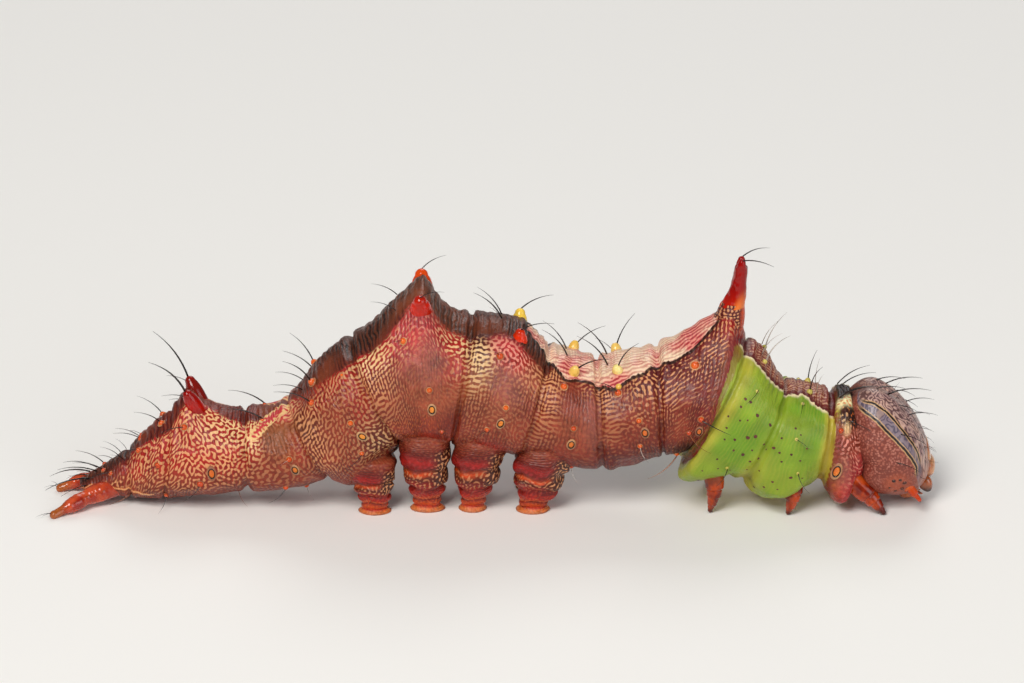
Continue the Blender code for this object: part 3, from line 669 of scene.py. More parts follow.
# %% Areas with sharp borders
AREAS = {  # outlines as (station, degrees from mid back)
    "pale": [
        (6.64, -20), (6.66, 6), (6.78, 9), (6.93, 15), (7.13, 26), (7.33, 37), (7.45, 36), (7.54, 34),
        (7.7, 33), (7.86, 35), (8.0, 37), (8.14, 39), (8.27, 42), (8.38, 41), (8.5, 37), (8.62, 35),
        (8.76, 34), (8.98, 26), (9.05, 27), (9.2, 28), (9.39, 25), (9.54, 18), (9.65, 11), (9.75, 6),
        (9.8, -20),
    ],
    "green": [
        (10.02, -20), (10.0, 8), (9.93, 20), (9.87, 29), (9.85, 46), (9.83, 60), (9.84, 72), (9.93, 90),
        (10.03, 107), (10.04, 132), (10.03, 200), (12.12, 200), (12.08, 130), (12.12, 105), (12.14, 80),
        (12.15, 60), (12.08, 46), (12.0, 38), (12.0, -20),
    ],
    "band": [  # the brown band along the back of T3 and T2
        (9.86, -20), (9.87, 22), (9.99, 20), (10.1, 23), (10.19, 26), (10.3, 28), (10.44, 29), (10.58, 27),
        (10.72, 24), (10.85, 22), (10.99, 21), (11.18, 23), (11.32, 18), (11.42, 22), (11.53, 28),
        (11.65, 31), (11.75, 34), (11.99, 37), (12.2, 37), (12.2, -20),
    ],
    "slash": [
        (3.16, 38), (3.27, 29), (3.42, 19), (3.6, 12), (3.8, 7), (3.97, 7), (4.04, 12), (4.0, 21),
        (3.88, 25), (3.74, 29), (3.58, 34), (3.44, 41), (3.3, 50), (3.16, 58), (3.1, 50),
    ],
    "rump": [
        (-0.3, 60), (0.16, 58), (0.4, 76), (0.64, 91), (1.0, 103), (1.24, 112), (1.5, 119), (1.78, 127),
        (1.78, 133), (1.5, 126), (1.24, 119), (1.0, 110), (0.64, 99), (0.4, 84), (0.16, 66), (-0.3, 68),
    ],
}
FAR_OUTSIDE = -3  # the distance stored where there is no trunk
station = np.array([weaves[k].station[i] for k, i in zip(owner, source)])
turn = np.array([weaves[k].turn[i] for k, i in zip(owner, source)])
on_trunk, on_stub = owner == 0, owner == len(weaves) - 1
on_leg = ~on_trunk & ~on_stub
degrees = np.abs(turn)
u, v = skin_map(station, degrees)


def distance_inside(u, v, outline):
    """Millimetres inside an outline, negative outside it."""
    at, beyond = np.transpose(outline)
    corner_u, corner_v = skin_map(at, beyond)
    corner_u = corner_u + np.minimum(at, 0)
    corner_v = corner_v + 0.05 * (np.minimum(beyond, 0) + np.maximum(beyond - 180, 0))
    best, inside = np.full(len(u), np.inf), np.zeros(len(u), bool)
    for i in range(len(outline)):
        ax, ay, bx, by = corner_u[i - 1], corner_v[i - 1], corner_u[i], corner_v[i]
        length = max((bx - ax) ** 2 + (by - ay) ** 2, 1e-9)
        t = np.clip(((u - ax) * (bx - ax) + (v - ay) * (by - ay)) / length, 0, 1)
        best = np.minimum(best, (u - ax - t * (bx - ax)) ** 2 + (v - ay - t * (by - ay)) ** 2)
        crosses = (ay > v) != (by > v)
        inside ^= crosses & (u < ax + (v - ay) * (bx - ax) / np.where(by == ay, 1e-9, by - ay))
    return np.where(inside, 1, -1) * np.sqrt(best)


def stored(mesh, name, values, kind="FLOAT"):
    """Keeps one value or colour for each point of a mesh, for its material to read."""
    layer = mesh.attributes.new(name, kind, "POINT")
    key = {"FLOAT": "value", "FLOAT_COLOR": "color", "FLOAT_VECTOR": "vector"}[kind]
    layer.data.foreach_set(key, np.asarray(values, np.float32).ravel())


AREAS["dark"] = [(-0.3, -20), (-0.3, 14)] + DARK_BACK[:-2] + [(7.3, -20)]
area = {}
for name, outline in AREAS.items():
    area[name] = np.where(on_trunk, distance_inside(u, v, outline), FAR_OUTSIDE)
area["band"] = np.minimum(area["band"], area["green"] + 0.12)  # it ends just past the green
for name in area:
    stored(mesh, name + " area", area[name])
print({name: int((values > 0).sum()) for name, values in area.items()}, "points inside")

# %% [markdown]
# ## Colours laid on with an airbrush
# Away from the sharp borders the colours drift: crimson on the tail, cinnamon on the flanks, mauve
# on the saddle. Each soft patch is one stroke of an airbrush with a place, a reach and two colours,
# one for the ground and one for the worm lines, and a few numbers for how the lines look. Where
# strokes overlap they mix.

# %% Palette
PAINTS = {
    "umber": (82, 38, 26), "black brown": (42, 22, 16), "crimson": (170, 38, 32), "brick": (148, 64, 42),
    "maroon": (122, 36, 30), "cinnamon": (154, 80, 54), "russet": (138, 58, 40), "mauve": (160, 94, 82),
    "rose": (190, 66, 70), "plum": (106, 34, 34), "sand": (220, 160, 114), "cream": (240, 204, 152),
    "tan": (184, 124, 86), "fawn": (170, 104, 72), "pink": (236, 160, 142), "straw": (196, 178, 74),
    "lime": (136, 164, 44), "leaf": (114, 154, 42), "ivory": (240, 226, 176), "red": (176, 34, 22),
    "orange": (206, 84, 34), "amber": (214, 120, 56), "hazel": (150, 92, 56),
}
PAINTS = {name: np.array(on_screen(colour)) for name, colour in PAINTS.items()}
STROKES = [  # station, degrees, reach in both, ground, lines, share of lines, order, strength
    (0.45, 20, 0.5, 30, "umber", "fawn", 0.3, 0.3, 0.5),
    (0.5, 52, 0.35, 14, "russet", "brick", 0.3, 0.2, 0.4),
    (0.7, 75, 0.4, 12, "brick", "sand", 0.5, 0.1, 0.9),
    (0.8, 125, 0.9, 22, "russet", "fawn", 0.4, 0.2, 0.5),
    (1.45, 60, 0.5, 26, "crimson", "sand", 0.5, 0.0, 1.0),
    (1.5, 100, 0.5, 16, "brick", "sand", 0.5, 0.0, 0.9),
    (2.2, 62, 0.6, 30, "crimson", "sand", 0.52, 0.0, 1.0),
    (2.75, 45, 0.3, 18, "crimson", "cream", 0.55, 0.0, 1.0),
    (2.75, 75, 0.3, 20, "crimson", "sand", 0.55, 0.0, 1.0),
    (2.3, 112, 0.7, 18, "russet", "sand", 0.48, 0.1, 0.8),
    (2.5, 150, 2.5, 24, "russet", "fawn", 0.4, 0.2, 0.6),
    (3.15, 58, 0.12, 22, "crimson", "cream", 0.55, 0.8, 1.0),
    (3.3, 95, 0.25, 26, "russet", "tan", 0.5, 0.4, 0.8),
    (3.75, 60, 0.3, 24, "hazel", "fawn", 0.45, 0.1, 0.6),
    (3.75, 100, 0.3, 24, "brick", "tan", 0.5, 0.1, 0.7),
    (3.95, 75, 0.12, 16, "crimson", "tan", 0.5, 0.2, 0.8),
    (3.95, 24, 0.25, 10, "rose", "cream", 0.6, 0.2, 0.8),
    (4.2, 62, 0.16, 24, "umber", "sand", 0.5, 1.0, 0.95),
    (4.2, 95, 0.2, 24, "russet", "sand", 0.5, 0.8, 0.9),
    (4.6, 44, 0.3, 9, "crimson", "sand", 0.55, 0.2, 0.9),
    (4.62, 70, 0.3, 20, "brick", "tan", 0.5, 0.1, 0.75), (4.6, 105, 0.3, 22, "brick", "tan", 0.5, 0.0, 0.8),
    (4.88, 66, 0.1, 26, "crimson", "tan", 0.5, 0.3, 0.9),
    (4.85, 118, 0.15, 20, "umber", "cream", 0.5, 0.0, 0.9),
    (5.15, 44, 0.22, 10, "crimson", "cream", 0.52, 0.7, 1.0),
    (5.15, 66, 0.2, 16, "russet", "sand", 0.5, 1.0, 0.95),
    (5.2, 95, 0.2, 22, "russet", "tan", 0.5, 0.9, 0.8),
    (5.45, 44, 0.12, 10, "rose", "sand", 0.45, 0.0, 0.7),
    (5.56, 36, 0.16, 12, "rose", "pink", 0.45, 0.0, 0.45),
    (5.6, 58, 0.22, 12, "mauve", "tan", 0.4, 0.0, 0.25),
    (5.55, 80, 0.25, 16, "cinnamon", "tan", 0.45, 0.3, 0.3),
    (5.82, 40, 0.14, 9, "crimson", "cream", 0.5, 0.0, 0.9),
    (5.9, 62, 0.12, 10, "crimson", "sand", 0.45, 0.3, 0.7),
    (5.85, 85, 0.18, 18, "cinnamon", "fawn", 0.5, 0.7, 0.5),
    (5.9, 112, 0.14, 16, "maroon", "brick", 0.4, 0.2, 0.4),
    (5.5, 118, 0.4, 14, "brick", "amber", 0.4, 0.2, 0.4),
    (6.12, 48, 0.12, 12, "umber", "cream", 0.55, 0.7, 0.9),
    (6.15, 66, 0.14, 14, "hazel", "cream", 0.5, 1.0, 0.8),
    (6.38, 36, 0.14, 9, "rose", "pink", 0.62, 0.0, 1.0),
    (6.55, 46, 0.16, 8, "crimson", "pink", 0.5, 0.0, 0.9),
    (6.5, 66, 0.22, 14, "mauve", "tan", 0.45, 0.2, 0.5),
    (6.8, 56, 0.14, 10, "cinnamon", "sand", 0.5, 0.4, 0.8),
    (6.45, 90, 0.3, 18, "cinnamon", "tan", 0.45, 0.3, 0.5),
    (6.5, 115, 0.4, 16, "brick", "tan", 0.45, 0.2, 0.5),
    (6.2, 92, 0.12, 24, "russet", "tan", 0.5, 1.0, 0.75),
    (6.85, 80, 0.12, 20, "russet", "fawn", 0.5, 0.6, 0.6),
    (7.15, 62, 0.16, 26, "russet", "sand", 0.5, 1.0, 0.95),
    (7.18, 95, 0.16, 20, "russet", "tan", 0.5, 1.0, 0.7),
    (7.5, 60, 0.25, 16, "russet", "cinnamon", 0.5, 1.0, 0.6),
    (7.8, 44, 0.14, 8, "maroon", "sand", 0.5, 0.0, 0.9),
    (7.6, 84, 0.3, 18, "cinnamon", "fawn", 0.45, 0.4, 0.45),
    (7.6, 112, 0.3, 18, "brick", "fawn", 0.45, 0.2, 0.5),
    (7.85, 75, 0.14, 26, "mauve", "fawn", 0.4, 0.6, 0.4),
    (8.12, 54, 0.12, 16, "plum", "sand", 0.5, 0.9, 1.0),
    (8.2, 82, 0.16, 20, "russet", "tan", 0.5, 1.0, 0.8),
    (8.4, 56, 0.2, 16, "russet", "tan", 0.45, 0.9, 0.6), (8.7, 48, 0.2, 10, "plum", "sand", 0.52, 0.1, 1.0),
    (8.65, 72, 0.2, 14, "brick", "sand", 0.45, 0.0, 0.7),
    (8.6, 100, 0.3, 20, "russet", "fawn", 0.45, 0.3, 0.5),
    (8.5, 130, 0.8, 18, "plum", "fawn", 0.4, 0.5, 0.5), (9.15, 44, 0.14, 12, "plum", "sand", 0.4, 0.2, 0.9),
    (9.2, 66, 0.12, 14, "maroon", "sand", 0.42, 0.9, 0.85),
    (9.35, 78, 0.2, 22, "russet", "tan", 0.4, 1.0, 0.6),
    (9.45, 46, 0.2, 16, "maroon", "sand", 0.38, 0.7, 0.9),
    (9.62, 28, 0.14, 14, "maroon", "sand", 0.4, 0.8, 0.9),
    (9.65, 60, 0.14, 14, "maroon", "tan", 0.4, 0.4, 0.8),
    (9.7, 84, 0.2, 14, "maroon", "tan", 0.36, 0.3, 0.55),
    (9.5, 108, 0.3, 16, "brick", "tan", 0.4, 0.6, 0.5),
    (9.5, 135, 0.4, 16, "black brown", "tan", 0.35, 0.4, 0.6),
    (9.8, 14, 0.1, 14, "crimson", "sand", 0.45, 0.8, 0.9),
    (9.88, 60, 0.05, 60, "maroon", "red", 0.5, 0.2, 1.0),
    (10.0, 120, 0.06, 30, "plum", "maroon", 0.5, 0.2, 1.0),
    (10.3, 60, 0.3, 24, "lime", "straw", 0.5, 1.0, 0.3),
    (10.5, 100, 0.4, 24, "leaf", "lime", 0.5, 1.0, 0.25),
    (10.5, 140, 0.5, 20, "lime", "straw", 0.5, 1.0, 0.3),
    (10.1, 80, 0.09, 60, "straw", "ivory", 0.4, 1.0, 0.3),
    (11.0, 70, 0.1, 50, "lime", "straw", 0.5, 1.0, 0.5),
    (11.4, 70, 0.35, 30, "leaf", "lime", 0.5, 1.0, 0.35),
    (11.5, 120, 0.5, 26, "lime", "straw", 0.5, 1.0, 0.3),
    (11.0, 140, 0.12, 40, "straw", "lime", 0.5, 1.0, 0.4),
    (12.02, 80, 0.12, 60, "straw", "ivory", 0.4, 1.0, 0.4),
    (11.0, 175, 1.6, 14, "straw", "lime", 0.5, 1.0, 0.2),
    (12.25, 6, 0.2, 14, "black brown", "umber", 0.4, 0.3, 0.9),
    (12.55, 26, 0.5, 5, "ivory", "amber", 0.4, 0.0, 0.8),
    (12.75, 44, 0.2, 10, "black brown", "amber", 0.35, 0.1, 0.9),
    (12.45, 44, 0.12, 10, "umber", "cream", 0.4, 0.1, 0.9),
    (12.55, 58, 0.12, 6, "cream", "ivory", 0.4, 0.1, 0.7),
    (12.5, 78, 0.4, 16, "brick", "pink", 0.45, 0.0, 0.8),
    (12.5, 102, 0.3, 14, "mauve", "tan", 0.4, 0.0, 0.5),
    (12.35, 130, 0.5, 20, "crimson", "rose", 0.4, 0.2, 0.7),
    (12.8, 120, 0.2, 20, "rose", "pink", 0.45, 0.0, 0.8),
    (5.58, 12, 0.22, 16, "hazel", "fawn", 0.4, 0.2, 0.3),
    (5.1, 10, 0.3, 16, "black brown", "umber", 0.4, 0.2, 0.3),
    (4.5, 24, 0.3, 12, "brick", "fawn", 0.4, 0.2, 0.3), (6.3, 12, 0.35, 16, "umber", "fawn", 0.4, 0.2, 0.3),
    (5.62, 126, 0.16, 8, "crimson", "rose", 0.4, 0.0, 0.4),
    (6.55, 128, 0.16, 8, "crimson", "rose", 0.4, 0.0, 0.4),
    (7.5, 130, 0.16, 8, "maroon", "rose", 0.4, 0.0, 0.4),
]
print(len(PAINTS), "colours and", len(STROKES), "strokes")


# %% Spray the trunk
GREEN = (9.9, 12.2)  # strokes between these stations are for the green part, the others stay out of it


def airbrush(station, degrees):
    """Ground colour, line colour and (share of lines, order, strength) for every point."""
    weight, ground, lines, look = (np.full((len(station), n), 1e-9) for n in (1, 3, 3, 3))
    for place, spot, reach, spread, base, worm, share, order, strength in STROKES:
        near_ = np.exp(-(((station - place) / reach) ** 2) - ((degrees - spot) / spread) ** 2)
        if GREEN[0] < place < GREEN[1]:
            stays = area["green"] > -0.4
        else:
            stays = np.where(area["green"] > 0.3, 1e-3, 1)
        near_ = (near_ * stays)[:, None]
        weight += near_
        ground += near_ * PAINTS[base]
        lines += near_ * PAINTS[worm]
        look += near_ * np.array((share, order, strength))
    return ground / weight, lines / weight, look / weight


ground, lines, look = airbrush(station, degrees)
blotch = 1 + 0.10 * rolling(places, 0.8, 31)[:, None]
ground *= blotch
print("mean ground colour:", ground.mean(0).round(3))

# %% [markdown]
# The prolegs are painted down their length instead: cinnamon like the flank above them, then maroon
# and crimson, netted with sand on the front edge, and orange down to a pale sole.

# %% Spray the prolegs
LEG_PAINT = [  # share of the way down, ground, lines, share of lines, order, strength
    (0.0, "cinnamon", "fawn", 0.45, 0.2, 0.5), (0.18, "russet", "fawn", 0.45, 0.1, 0.5),
    (0.28, "maroon", "brick", 0.4, 0.0, 0.5), (0.36, "crimson", "rose", 0.4, 0.0, 0.3),
    (0.43, "maroon", "rose", 0.4, 0.0, 0.4), (0.46, "brick", "rose", 0.4, 0.0, 0.3),
    (0.49, "orange", "sand", 0.5, 0.0, 0.5), (0.53, "umber", "tan", 0.42, 0.0, 0.8),
    (0.63, "crimson", "sand", 0.42, 0.2, 0.7), (0.67, "maroon", "crimson", 0.4, 0.2, 0.5),
    (0.74, "crimson", "orange", 0.5, 0.2, 0.5), (0.78, "orange", "sand", 0.5, 0.2, 0.5),
    (0.8, "maroon", "orange", 0.4, 0.2, 0.5), (0.86, "orange", "amber", 0.5, 0.2, 0.4),
    (0.91, "crimson", "orange", 0.5, 0.2, 0.4), (0.945, "amber", "sand", 0.5, 0.2, 0.4),
    (1.0, "fawn", "tan", 0.5, 0.2, 0.4),
]
down = np.where(on_leg, station, 0.0)
stops = [row[0] for row in LEG_PAINT]
for target, rows in (
    (ground, [PAINTS[row[1]] for row in LEG_PAINT]),
    (lines, [PAINTS[row[2]] for row in LEG_PAINT]),
    (look, [row[3:] for row in LEG_PAINT]),
):
    for k, column in enumerate(np.transpose(rows)):
        target[on_leg, k] = np.interp(down[on_leg], stops, column)
facing = np.cos(np.radians(turn))
front = eased((facing - 0.15) / 0.5) * eased((down - 0.2) / 0.1) * eased((0.66 - down) / 0.05)
front = (front * on_leg)[:, None]
ground[:] = ground * (1 - front) + PAINTS["umber"] * front
lines[:] = lines * (1 - front) + PAINTS["sand"] * front
look[:] = look * (1 - front) + np.array((0.42, 0.0, 0.85)) * front
ground[on_stub], lines[on_stub], look[on_stub] = PAINTS["plum"], PAINTS["sand"], (0.44, 1.0, 0.85)
heights, horn_x, half_x, _ = np.transpose(HORN_RINGS)
ahead = (places[:, 0] - np.interp(places[:, 2], heights, horn_x)) / np.interp(places[:, 2], heights, half_x)
glow = (eased((ahead - 0.55) / 0.3) * eased((places[:, 2] - 5.9) / 0.5) * on_stub)[:, None]
ground[:] = ground * (1 - glow) + PAINTS["orange"] * glow
look[:] = look * (1 - glow)
for name, colours in (("ground", ground), ("lines", lines)):
    stored(mesh, name, np.hstack([np.clip(colours, 0, 1), np.ones((len(colours), 1))]), "FLOAT_COLOR")
stored(mesh, "look", look, "FLOAT_VECTOR")
print("prolegs painted:", int(on_leg.sum()), "points")

# %% [markdown]
# ## The skin's material
# The worm lines come from Gabor noise: band-limited noise whose waves all have nearly one width, so
# a cut through it at half height gives a labyrinth of lines with even thickness, as on the animal.
# Where the skin is ribbed, a second Gabor with one fixed direction gives lines across the body. The
# airbrushed values choose between them, and the stored distances lay the sharp areas on top.


# %% Short ways to write nodes
def add_node(tree, kind, inputs=(), **settings):
    """A new node. Its inputs are given by name or number, each a value or a socket to link."""
    made = tree.nodes.new(kind)
    for key, value in settings.items():
        setattr(made, key, value)
    for key, value in dict(inputs).items():
        if isinstance(value, bpy.types.NodeSocket):
            tree.links.new(value, made.inputs[key])
        else:
            made.inputs[key].default_value = value
    return made


class Finish:
    """A material under construction, with short calls for its nodes."""

    def __init__(self, name, **settings):
        self.material = bpy.data.materials.new(name)
        self.material.use_nodes = True
        self.tree = self.material.node_tree
        self.shader = self.tree.nodes["Principled BSDF"]
        for key, value in settings.items():
            self.shader.inputs[key.replace("_", " ")].default_value = value
        self.where = self.node("TexCoord").outputs["Object"]

    def node(self, kind, inputs=(), **settings):
        """One shader node."""
        return add_node(self.tree, "ShaderNode" + kind, inputs, **settings)

    def stored(self, name, output="Fac"):
        """What the mesh keeps for each of its points under this name."""
        return self.node("Attribute", attribute_name=name, attribute_type="GEOMETRY").outputs[output]

    def axis(self, number):
        """How far along x, y or z a point lies, in metres."""
        return self.node("SeparateXYZ", {0: self.where}).outputs[number]

    def math(self, operation, first, second=0.0, third=0.0):
        """A calculation with up to three numbers."""
        return self.node("Math", {0: first, 1: second, 2: third}, operation=operation).outputs[0]

    def uneven(self, pattern, reach, distance):
        """A distance that a pattern shifts by up to half this reach."""
        return self.math("MULTIPLY_ADD", self.math("SUBTRACT", pattern, 0.5), reach, distance)

    def vector(self, operation, first, second=(0, 0, 0)):
        """A calculation with vectors."""
        other = "Scale" if operation == "SCALE" else 1
        made = self.node("VectorMath", {0: first, other: second}, operation=operation)
        return made.outputs["Value" if operation == "LENGTH" else "Vector"]

    def ramp(self, value, low, high, start=0.0, end=1.0):
        """A smooth step: start below low, end above high."""
        ends = {"Value": value, "From Min": low, "From Max": high, "To Min": start, "To Max": end}
        return self.node("MapRange", ends, interpolation_type="SMOOTHSTEP").outputs["Result"]

    def either(self, share, first, second):
        """The first number at share 0, the second at share 1."""
        return self.node("Mix", {0: share, 2: first, 3: second}, data_type="FLOAT").outputs[0]

    def mix(self, share, first, second, blend="MIX"):
        """The second colour over the first. Each is a socket, a paint's name or three screen values."""
        made = self.node("Mix", {0: share}, data_type="RGBA", blend_type=blend)
        for place, value in ((6, first), (7, second)):
            if isinstance(value, bpy.types.NodeSocket):
                self.tree.links.new(value, made.inputs[place])
            else:
                paint = PAINTS[value] if isinstance(value, str) else on_screen(value)
                made.inputs[place].default_value = (*paint, 1)
        return made.outputs[2]

    def shaded(self, colour, share):
        """A colour made darker or lighter all over."""
        grey = self.node("CombineXYZ", {k: share for k in range(3)}).outputs[0]
        return self.mix(1.0, colour, grey, "MULTIPLY")

    def noise(self, vector, scale, detail=2.0, output="Fac"):
        """Cloudy noise. The scale is its changes in one unit of the vector."""
        return self.node("TexNoise", {"Vector": vector, "Scale": scale, "Detail": detail}).outputs[output]

    def drift(self, vector, scale, detail, reach):
        """A short way to go that changes softly from place to place."""
        colour = self.noise(vector, scale, detail, "Color")
        return self.vector("SCALE", self.vector("SUBTRACT", colour, (0.5, 0.5, 0.5)), reach)

    def bump(self, height, distance, strength=1.0):
        """Relief in millimetres, for what is too fine for the mesh."""
        made = self.node("Bump", {"Height": height, "Distance": distance * MM, "Strength": strength})
        self.link(made.outputs["Normal"], "Normal")

    def link(self, output, name):
        """Ends a chain of nodes in one input of the shader."""
        self.tree.links.new(output, self.shader.inputs[name])


print("node calls ready")

# %% Lines of the skin
LABYRINTH_PERIOD, ROW_PERIOD, RIB_PERIOD = 0.168, 0.168, 0.118
CELL_WAVES = 2.0  # waves in one cell of the Gabor noise
WAVE_LENGTH = 0.314  # of a wave texture at scale 1
coat = Finish("larva skin", Roughness=0.42, Specular_IOR_Level=0.36, Subsurface_Weight=0.10,
              Subsurface_Scale=0.0004, Subsurface_Radius=(1.0, 0.4, 0.25))
tape, body = coat.node("UVMap", uv_map="SkinMap").outputs["UV"], coat.where
wander = coat.drift(tape, 1.1, 1.0, 0.35)
warped = coat.vector("ADD", tape, wander)
ribbed = coat.vector("ADD", tape, coat.vector("SCALE", wander, 0.25))


def gabor(vector, period, one_way, angle=0.0):
    """Noise of one line width. one_way 0 winds freely, 1 keeps one direction."""
    made = coat.node("TexGabor", {
        "Vector": vector, "Scale": 1 / (period * CELL_WAVES), "Frequency": CELL_WAVES,
        "Anisotropy": one_way, "Orientation": angle,
    }, gabor_type="2D")
    return made.outputs["Value"]


labyrinth = gabor(warped, LABYRINTH_PERIOD, 0.0)
rows = gabor(warped, ROW_PERIOD, 0.70, math.radians(90))
wave = coat.node("TexWave", {
    "Vector": ribbed, "Scale": WAVE_LENGTH / RIB_PERIOD,
    "Distortion": 4.5, "Detail": 2.0, "Detail Scale": 0.9,
})
patchy = coat.ramp(coat.noise(tape, 0.9), 0.36, 0.64)
ribs = coat.either(patchy, 0.62, wave.outputs["Fac"])
lattice = coat.math("MULTIPLY_ADD", ribs, 0.24, coat.math("MULTIPLY_ADD", rows, 0.76, 0.01))
look_parts = coat.node("SeparateXYZ", {0: coat.stored("look", "Vector")})
cover, order, strength = (look_parts.outputs[k] for k in range(3))
worm = coat.either(order, labyrinth, lattice)
cut = coat.math("MULTIPLY_ADD", cover, -0.5, 0.775)
raised = coat.math("SUBTRACT", worm, cut)
line_share = coat.math("MULTIPLY", coat.ramp(raised, -0.035, 0.045), strength)
print("labyrinth period", LABYRINTH_PERIOD, "mm, rib period", RIB_PERIOD, "mm")

# %% Colours of the skin
fleck = coat.noise(body, 9000.0, 3.0)
ground_colour = coat.shaded(coat.stored("ground", "Color"), coat.ramp(fleck, 0.3, 0.7, 0.78, 1.18))
colour = coat.mix(line_share, ground_colour, coat.stored("lines", "Color"))
# Painted shade: the troughs of the fine ring folds are darkened and their crests lightened a little.
colour = coat.shaded(colour, coat.ramp(ribs, 0.05, 0.5, 0.74, 1.04))


def inside(name, edge, soft=0.02):
    """1 inside an area, with a border that the pattern makes uneven by this many millimetres."""
    return coat.ramp(coat.uneven(worm, edge * 2, coat.stored(name + " area")), -soft, soft)


# The back here is its own dark brown; the troughs of its ring folds are painted near black and their crests
# lighter brown, as painted shade and light.
dark_colour = coat.mix(coat.ramp(ribs, 0.25, 0.75), (40, 19, 12), (114, 62, 38))
# Painted highlight: light brown patches stand for the shine on the wet dark back.
dark_colour = coat.mix(coat.ramp(coat.noise(body, 700.0), 0.46, 0.70, 0, 0.5), dark_colour, (156, 84, 50))
dark_colour = coat.mix(0.24, dark_colour, ground_colour)
colour = coat.mix(inside("dark", 0.28, 0.05), colour, dark_colour)
pale_away = coat.stored("pale area")
under_pale = coat.math("MULTIPLY", coat.ramp(pale_away, -0.16, -0.10), coat.ramp(pale_away, 0.0, 0.02, 1, 0))
colour = coat.mix(coat.math("MULTIPLY", under_pale, 0.85), colour, "black brown")
pale_lines = coat.ramp(coat.math("SUBTRACT", rows, 0.5), -0.04, 0.05)
blush = coat.ramp(coat.noise(body, 800.0), 0.40, 0.66)
pale_colour = coat.mix(blush, (246, 220, 190), (236, 158, 142))
pale_lines = coat.math("MULTIPLY", pale_lines, coat.math("MULTIPLY_ADD", blush, 0.55, 0.40))
pale_colour = coat.mix(pale_lines, pale_colour, (182, 52, 66))
colour = coat.mix(inside("pale", 0.07), colour, pale_colour)
slash_inner = coat.uneven(labyrinth, 0.55, coat.stored("slash area"))
slash_colour = coat.mix(coat.ramp(slash_inner, 0.04, 0.20), (236, 200, 142), (204, 70, 74))
colour = coat.mix(inside("slash", 0.09), colour, slash_colour)
rump_colour = coat.mix(coat.ramp(coat.stored("rump area"), 0.0, 0.05), "amber", "cream")
colour = coat.mix(inside("rump", 0.02), colour, rump_colour)
print("borders laid on")

# %% The green middle of the thorax and its brown back
beside_green = coat.ramp(coat.uneven(worm, 0.5, coat.stored("green area")), -0.3, -0.06)
colour = coat.mix(coat.math("MULTIPLY", beside_green, 0.8), colour, (132, 24, 34))
green_in = inside("green", 0.10, 0.02)
fine = coat.math("MULTIPLY", coat.ramp(ribs, 0.45, 0.85), 0.16)
green_colour = coat.mix(fine, coat.stored("ground", "Color"), "straw")
green_colour = coat.mix(coat.ramp(coat.noise(body, 650.0), 0.35, 0.7, 0, 0.45), green_colour, (166, 176, 66))
colour = coat.mix(green_in, colour, green_colour)
band_away = coat.stored("band area")
white_edge = coat.math("MULTIPLY", coat.ramp(band_away, -0.16, -0.02), green_in)
colour = coat.mix(white_edge, colour, (232, 216, 176))
band_colour = coat.mix(coat.ramp(raised, -0.02, 0.05), "russet", (196, 150, 120))
band_colour = coat.mix(coat.ramp(band_away, 0.05, 0.35), "plum", band_colour)
colour = coat.mix(inside("band", 0.08), colour, band_colour)
coat.link(colour, "Base Color")
print("green and its band laid on")

# %% Gloss and fine relief
coat.link(coat.ramp(fleck, 0.3, 0.7, 0.28, 0.48), "Roughness")
height = coat.noise(coat.vector("MULTIPLY", ribbed, (9.0, 4.5, 1.0)), 1.0)
height = coat.math("MULTIPLY_ADD", ribs, coat.ramp(coat.stored("green area"), -0.05, 0.1, 0.5, 0.1), height)
height = coat.math("MULTIPLY_ADD", coat.noise(body, 21000.0), 0.35, height)
coat.bump(height, 0.04, 0.8)
print("skin finish:", len(coat.tree.nodes), "nodes")


# %% Put the skin in place of the soft solids
def placed(piece, slot, *nodes, finish=None):
    """Gives a piece its finish, ties it to the body and hides the solids it stands for. Its slot is not used.
    """
    if finish:
        piece.data.materials.clear()
        piece.data.materials.append(finish.material)
        piece.data.shade_smooth()
    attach(piece, "root")
    if nodes:
        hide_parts(*nodes)
    return piece


trunk_nodes = [f"{'thorax' if name[0] == 'T' else 'abdomen'}_{name.lower()}" for name in SEGMENTS]
proleg_nodes = [f"proleg_{name}_{side}" for name in PROLEGS for side in ("left", "right")]
placed(skin, "skin_brown", *trunk_nodes, *proleg_nodes, finish=coat)
print("skin stands for", len(trunk_nodes + proleg_nodes), "solids")

# %% [markdown]
# ## Many small things that stand on the skin
# Warts, breathing holes, hairs, freckles and simple eyes are all small shapes repeated on the skin.
# Geometry Nodes can put a copy of one template on each point of a list, turned to the skin. The
# tree below does that for all of them: each point carries the way up, the way the copy lies, and
# its size. The copies are made real at the end, so the finished piece is a plain mesh.

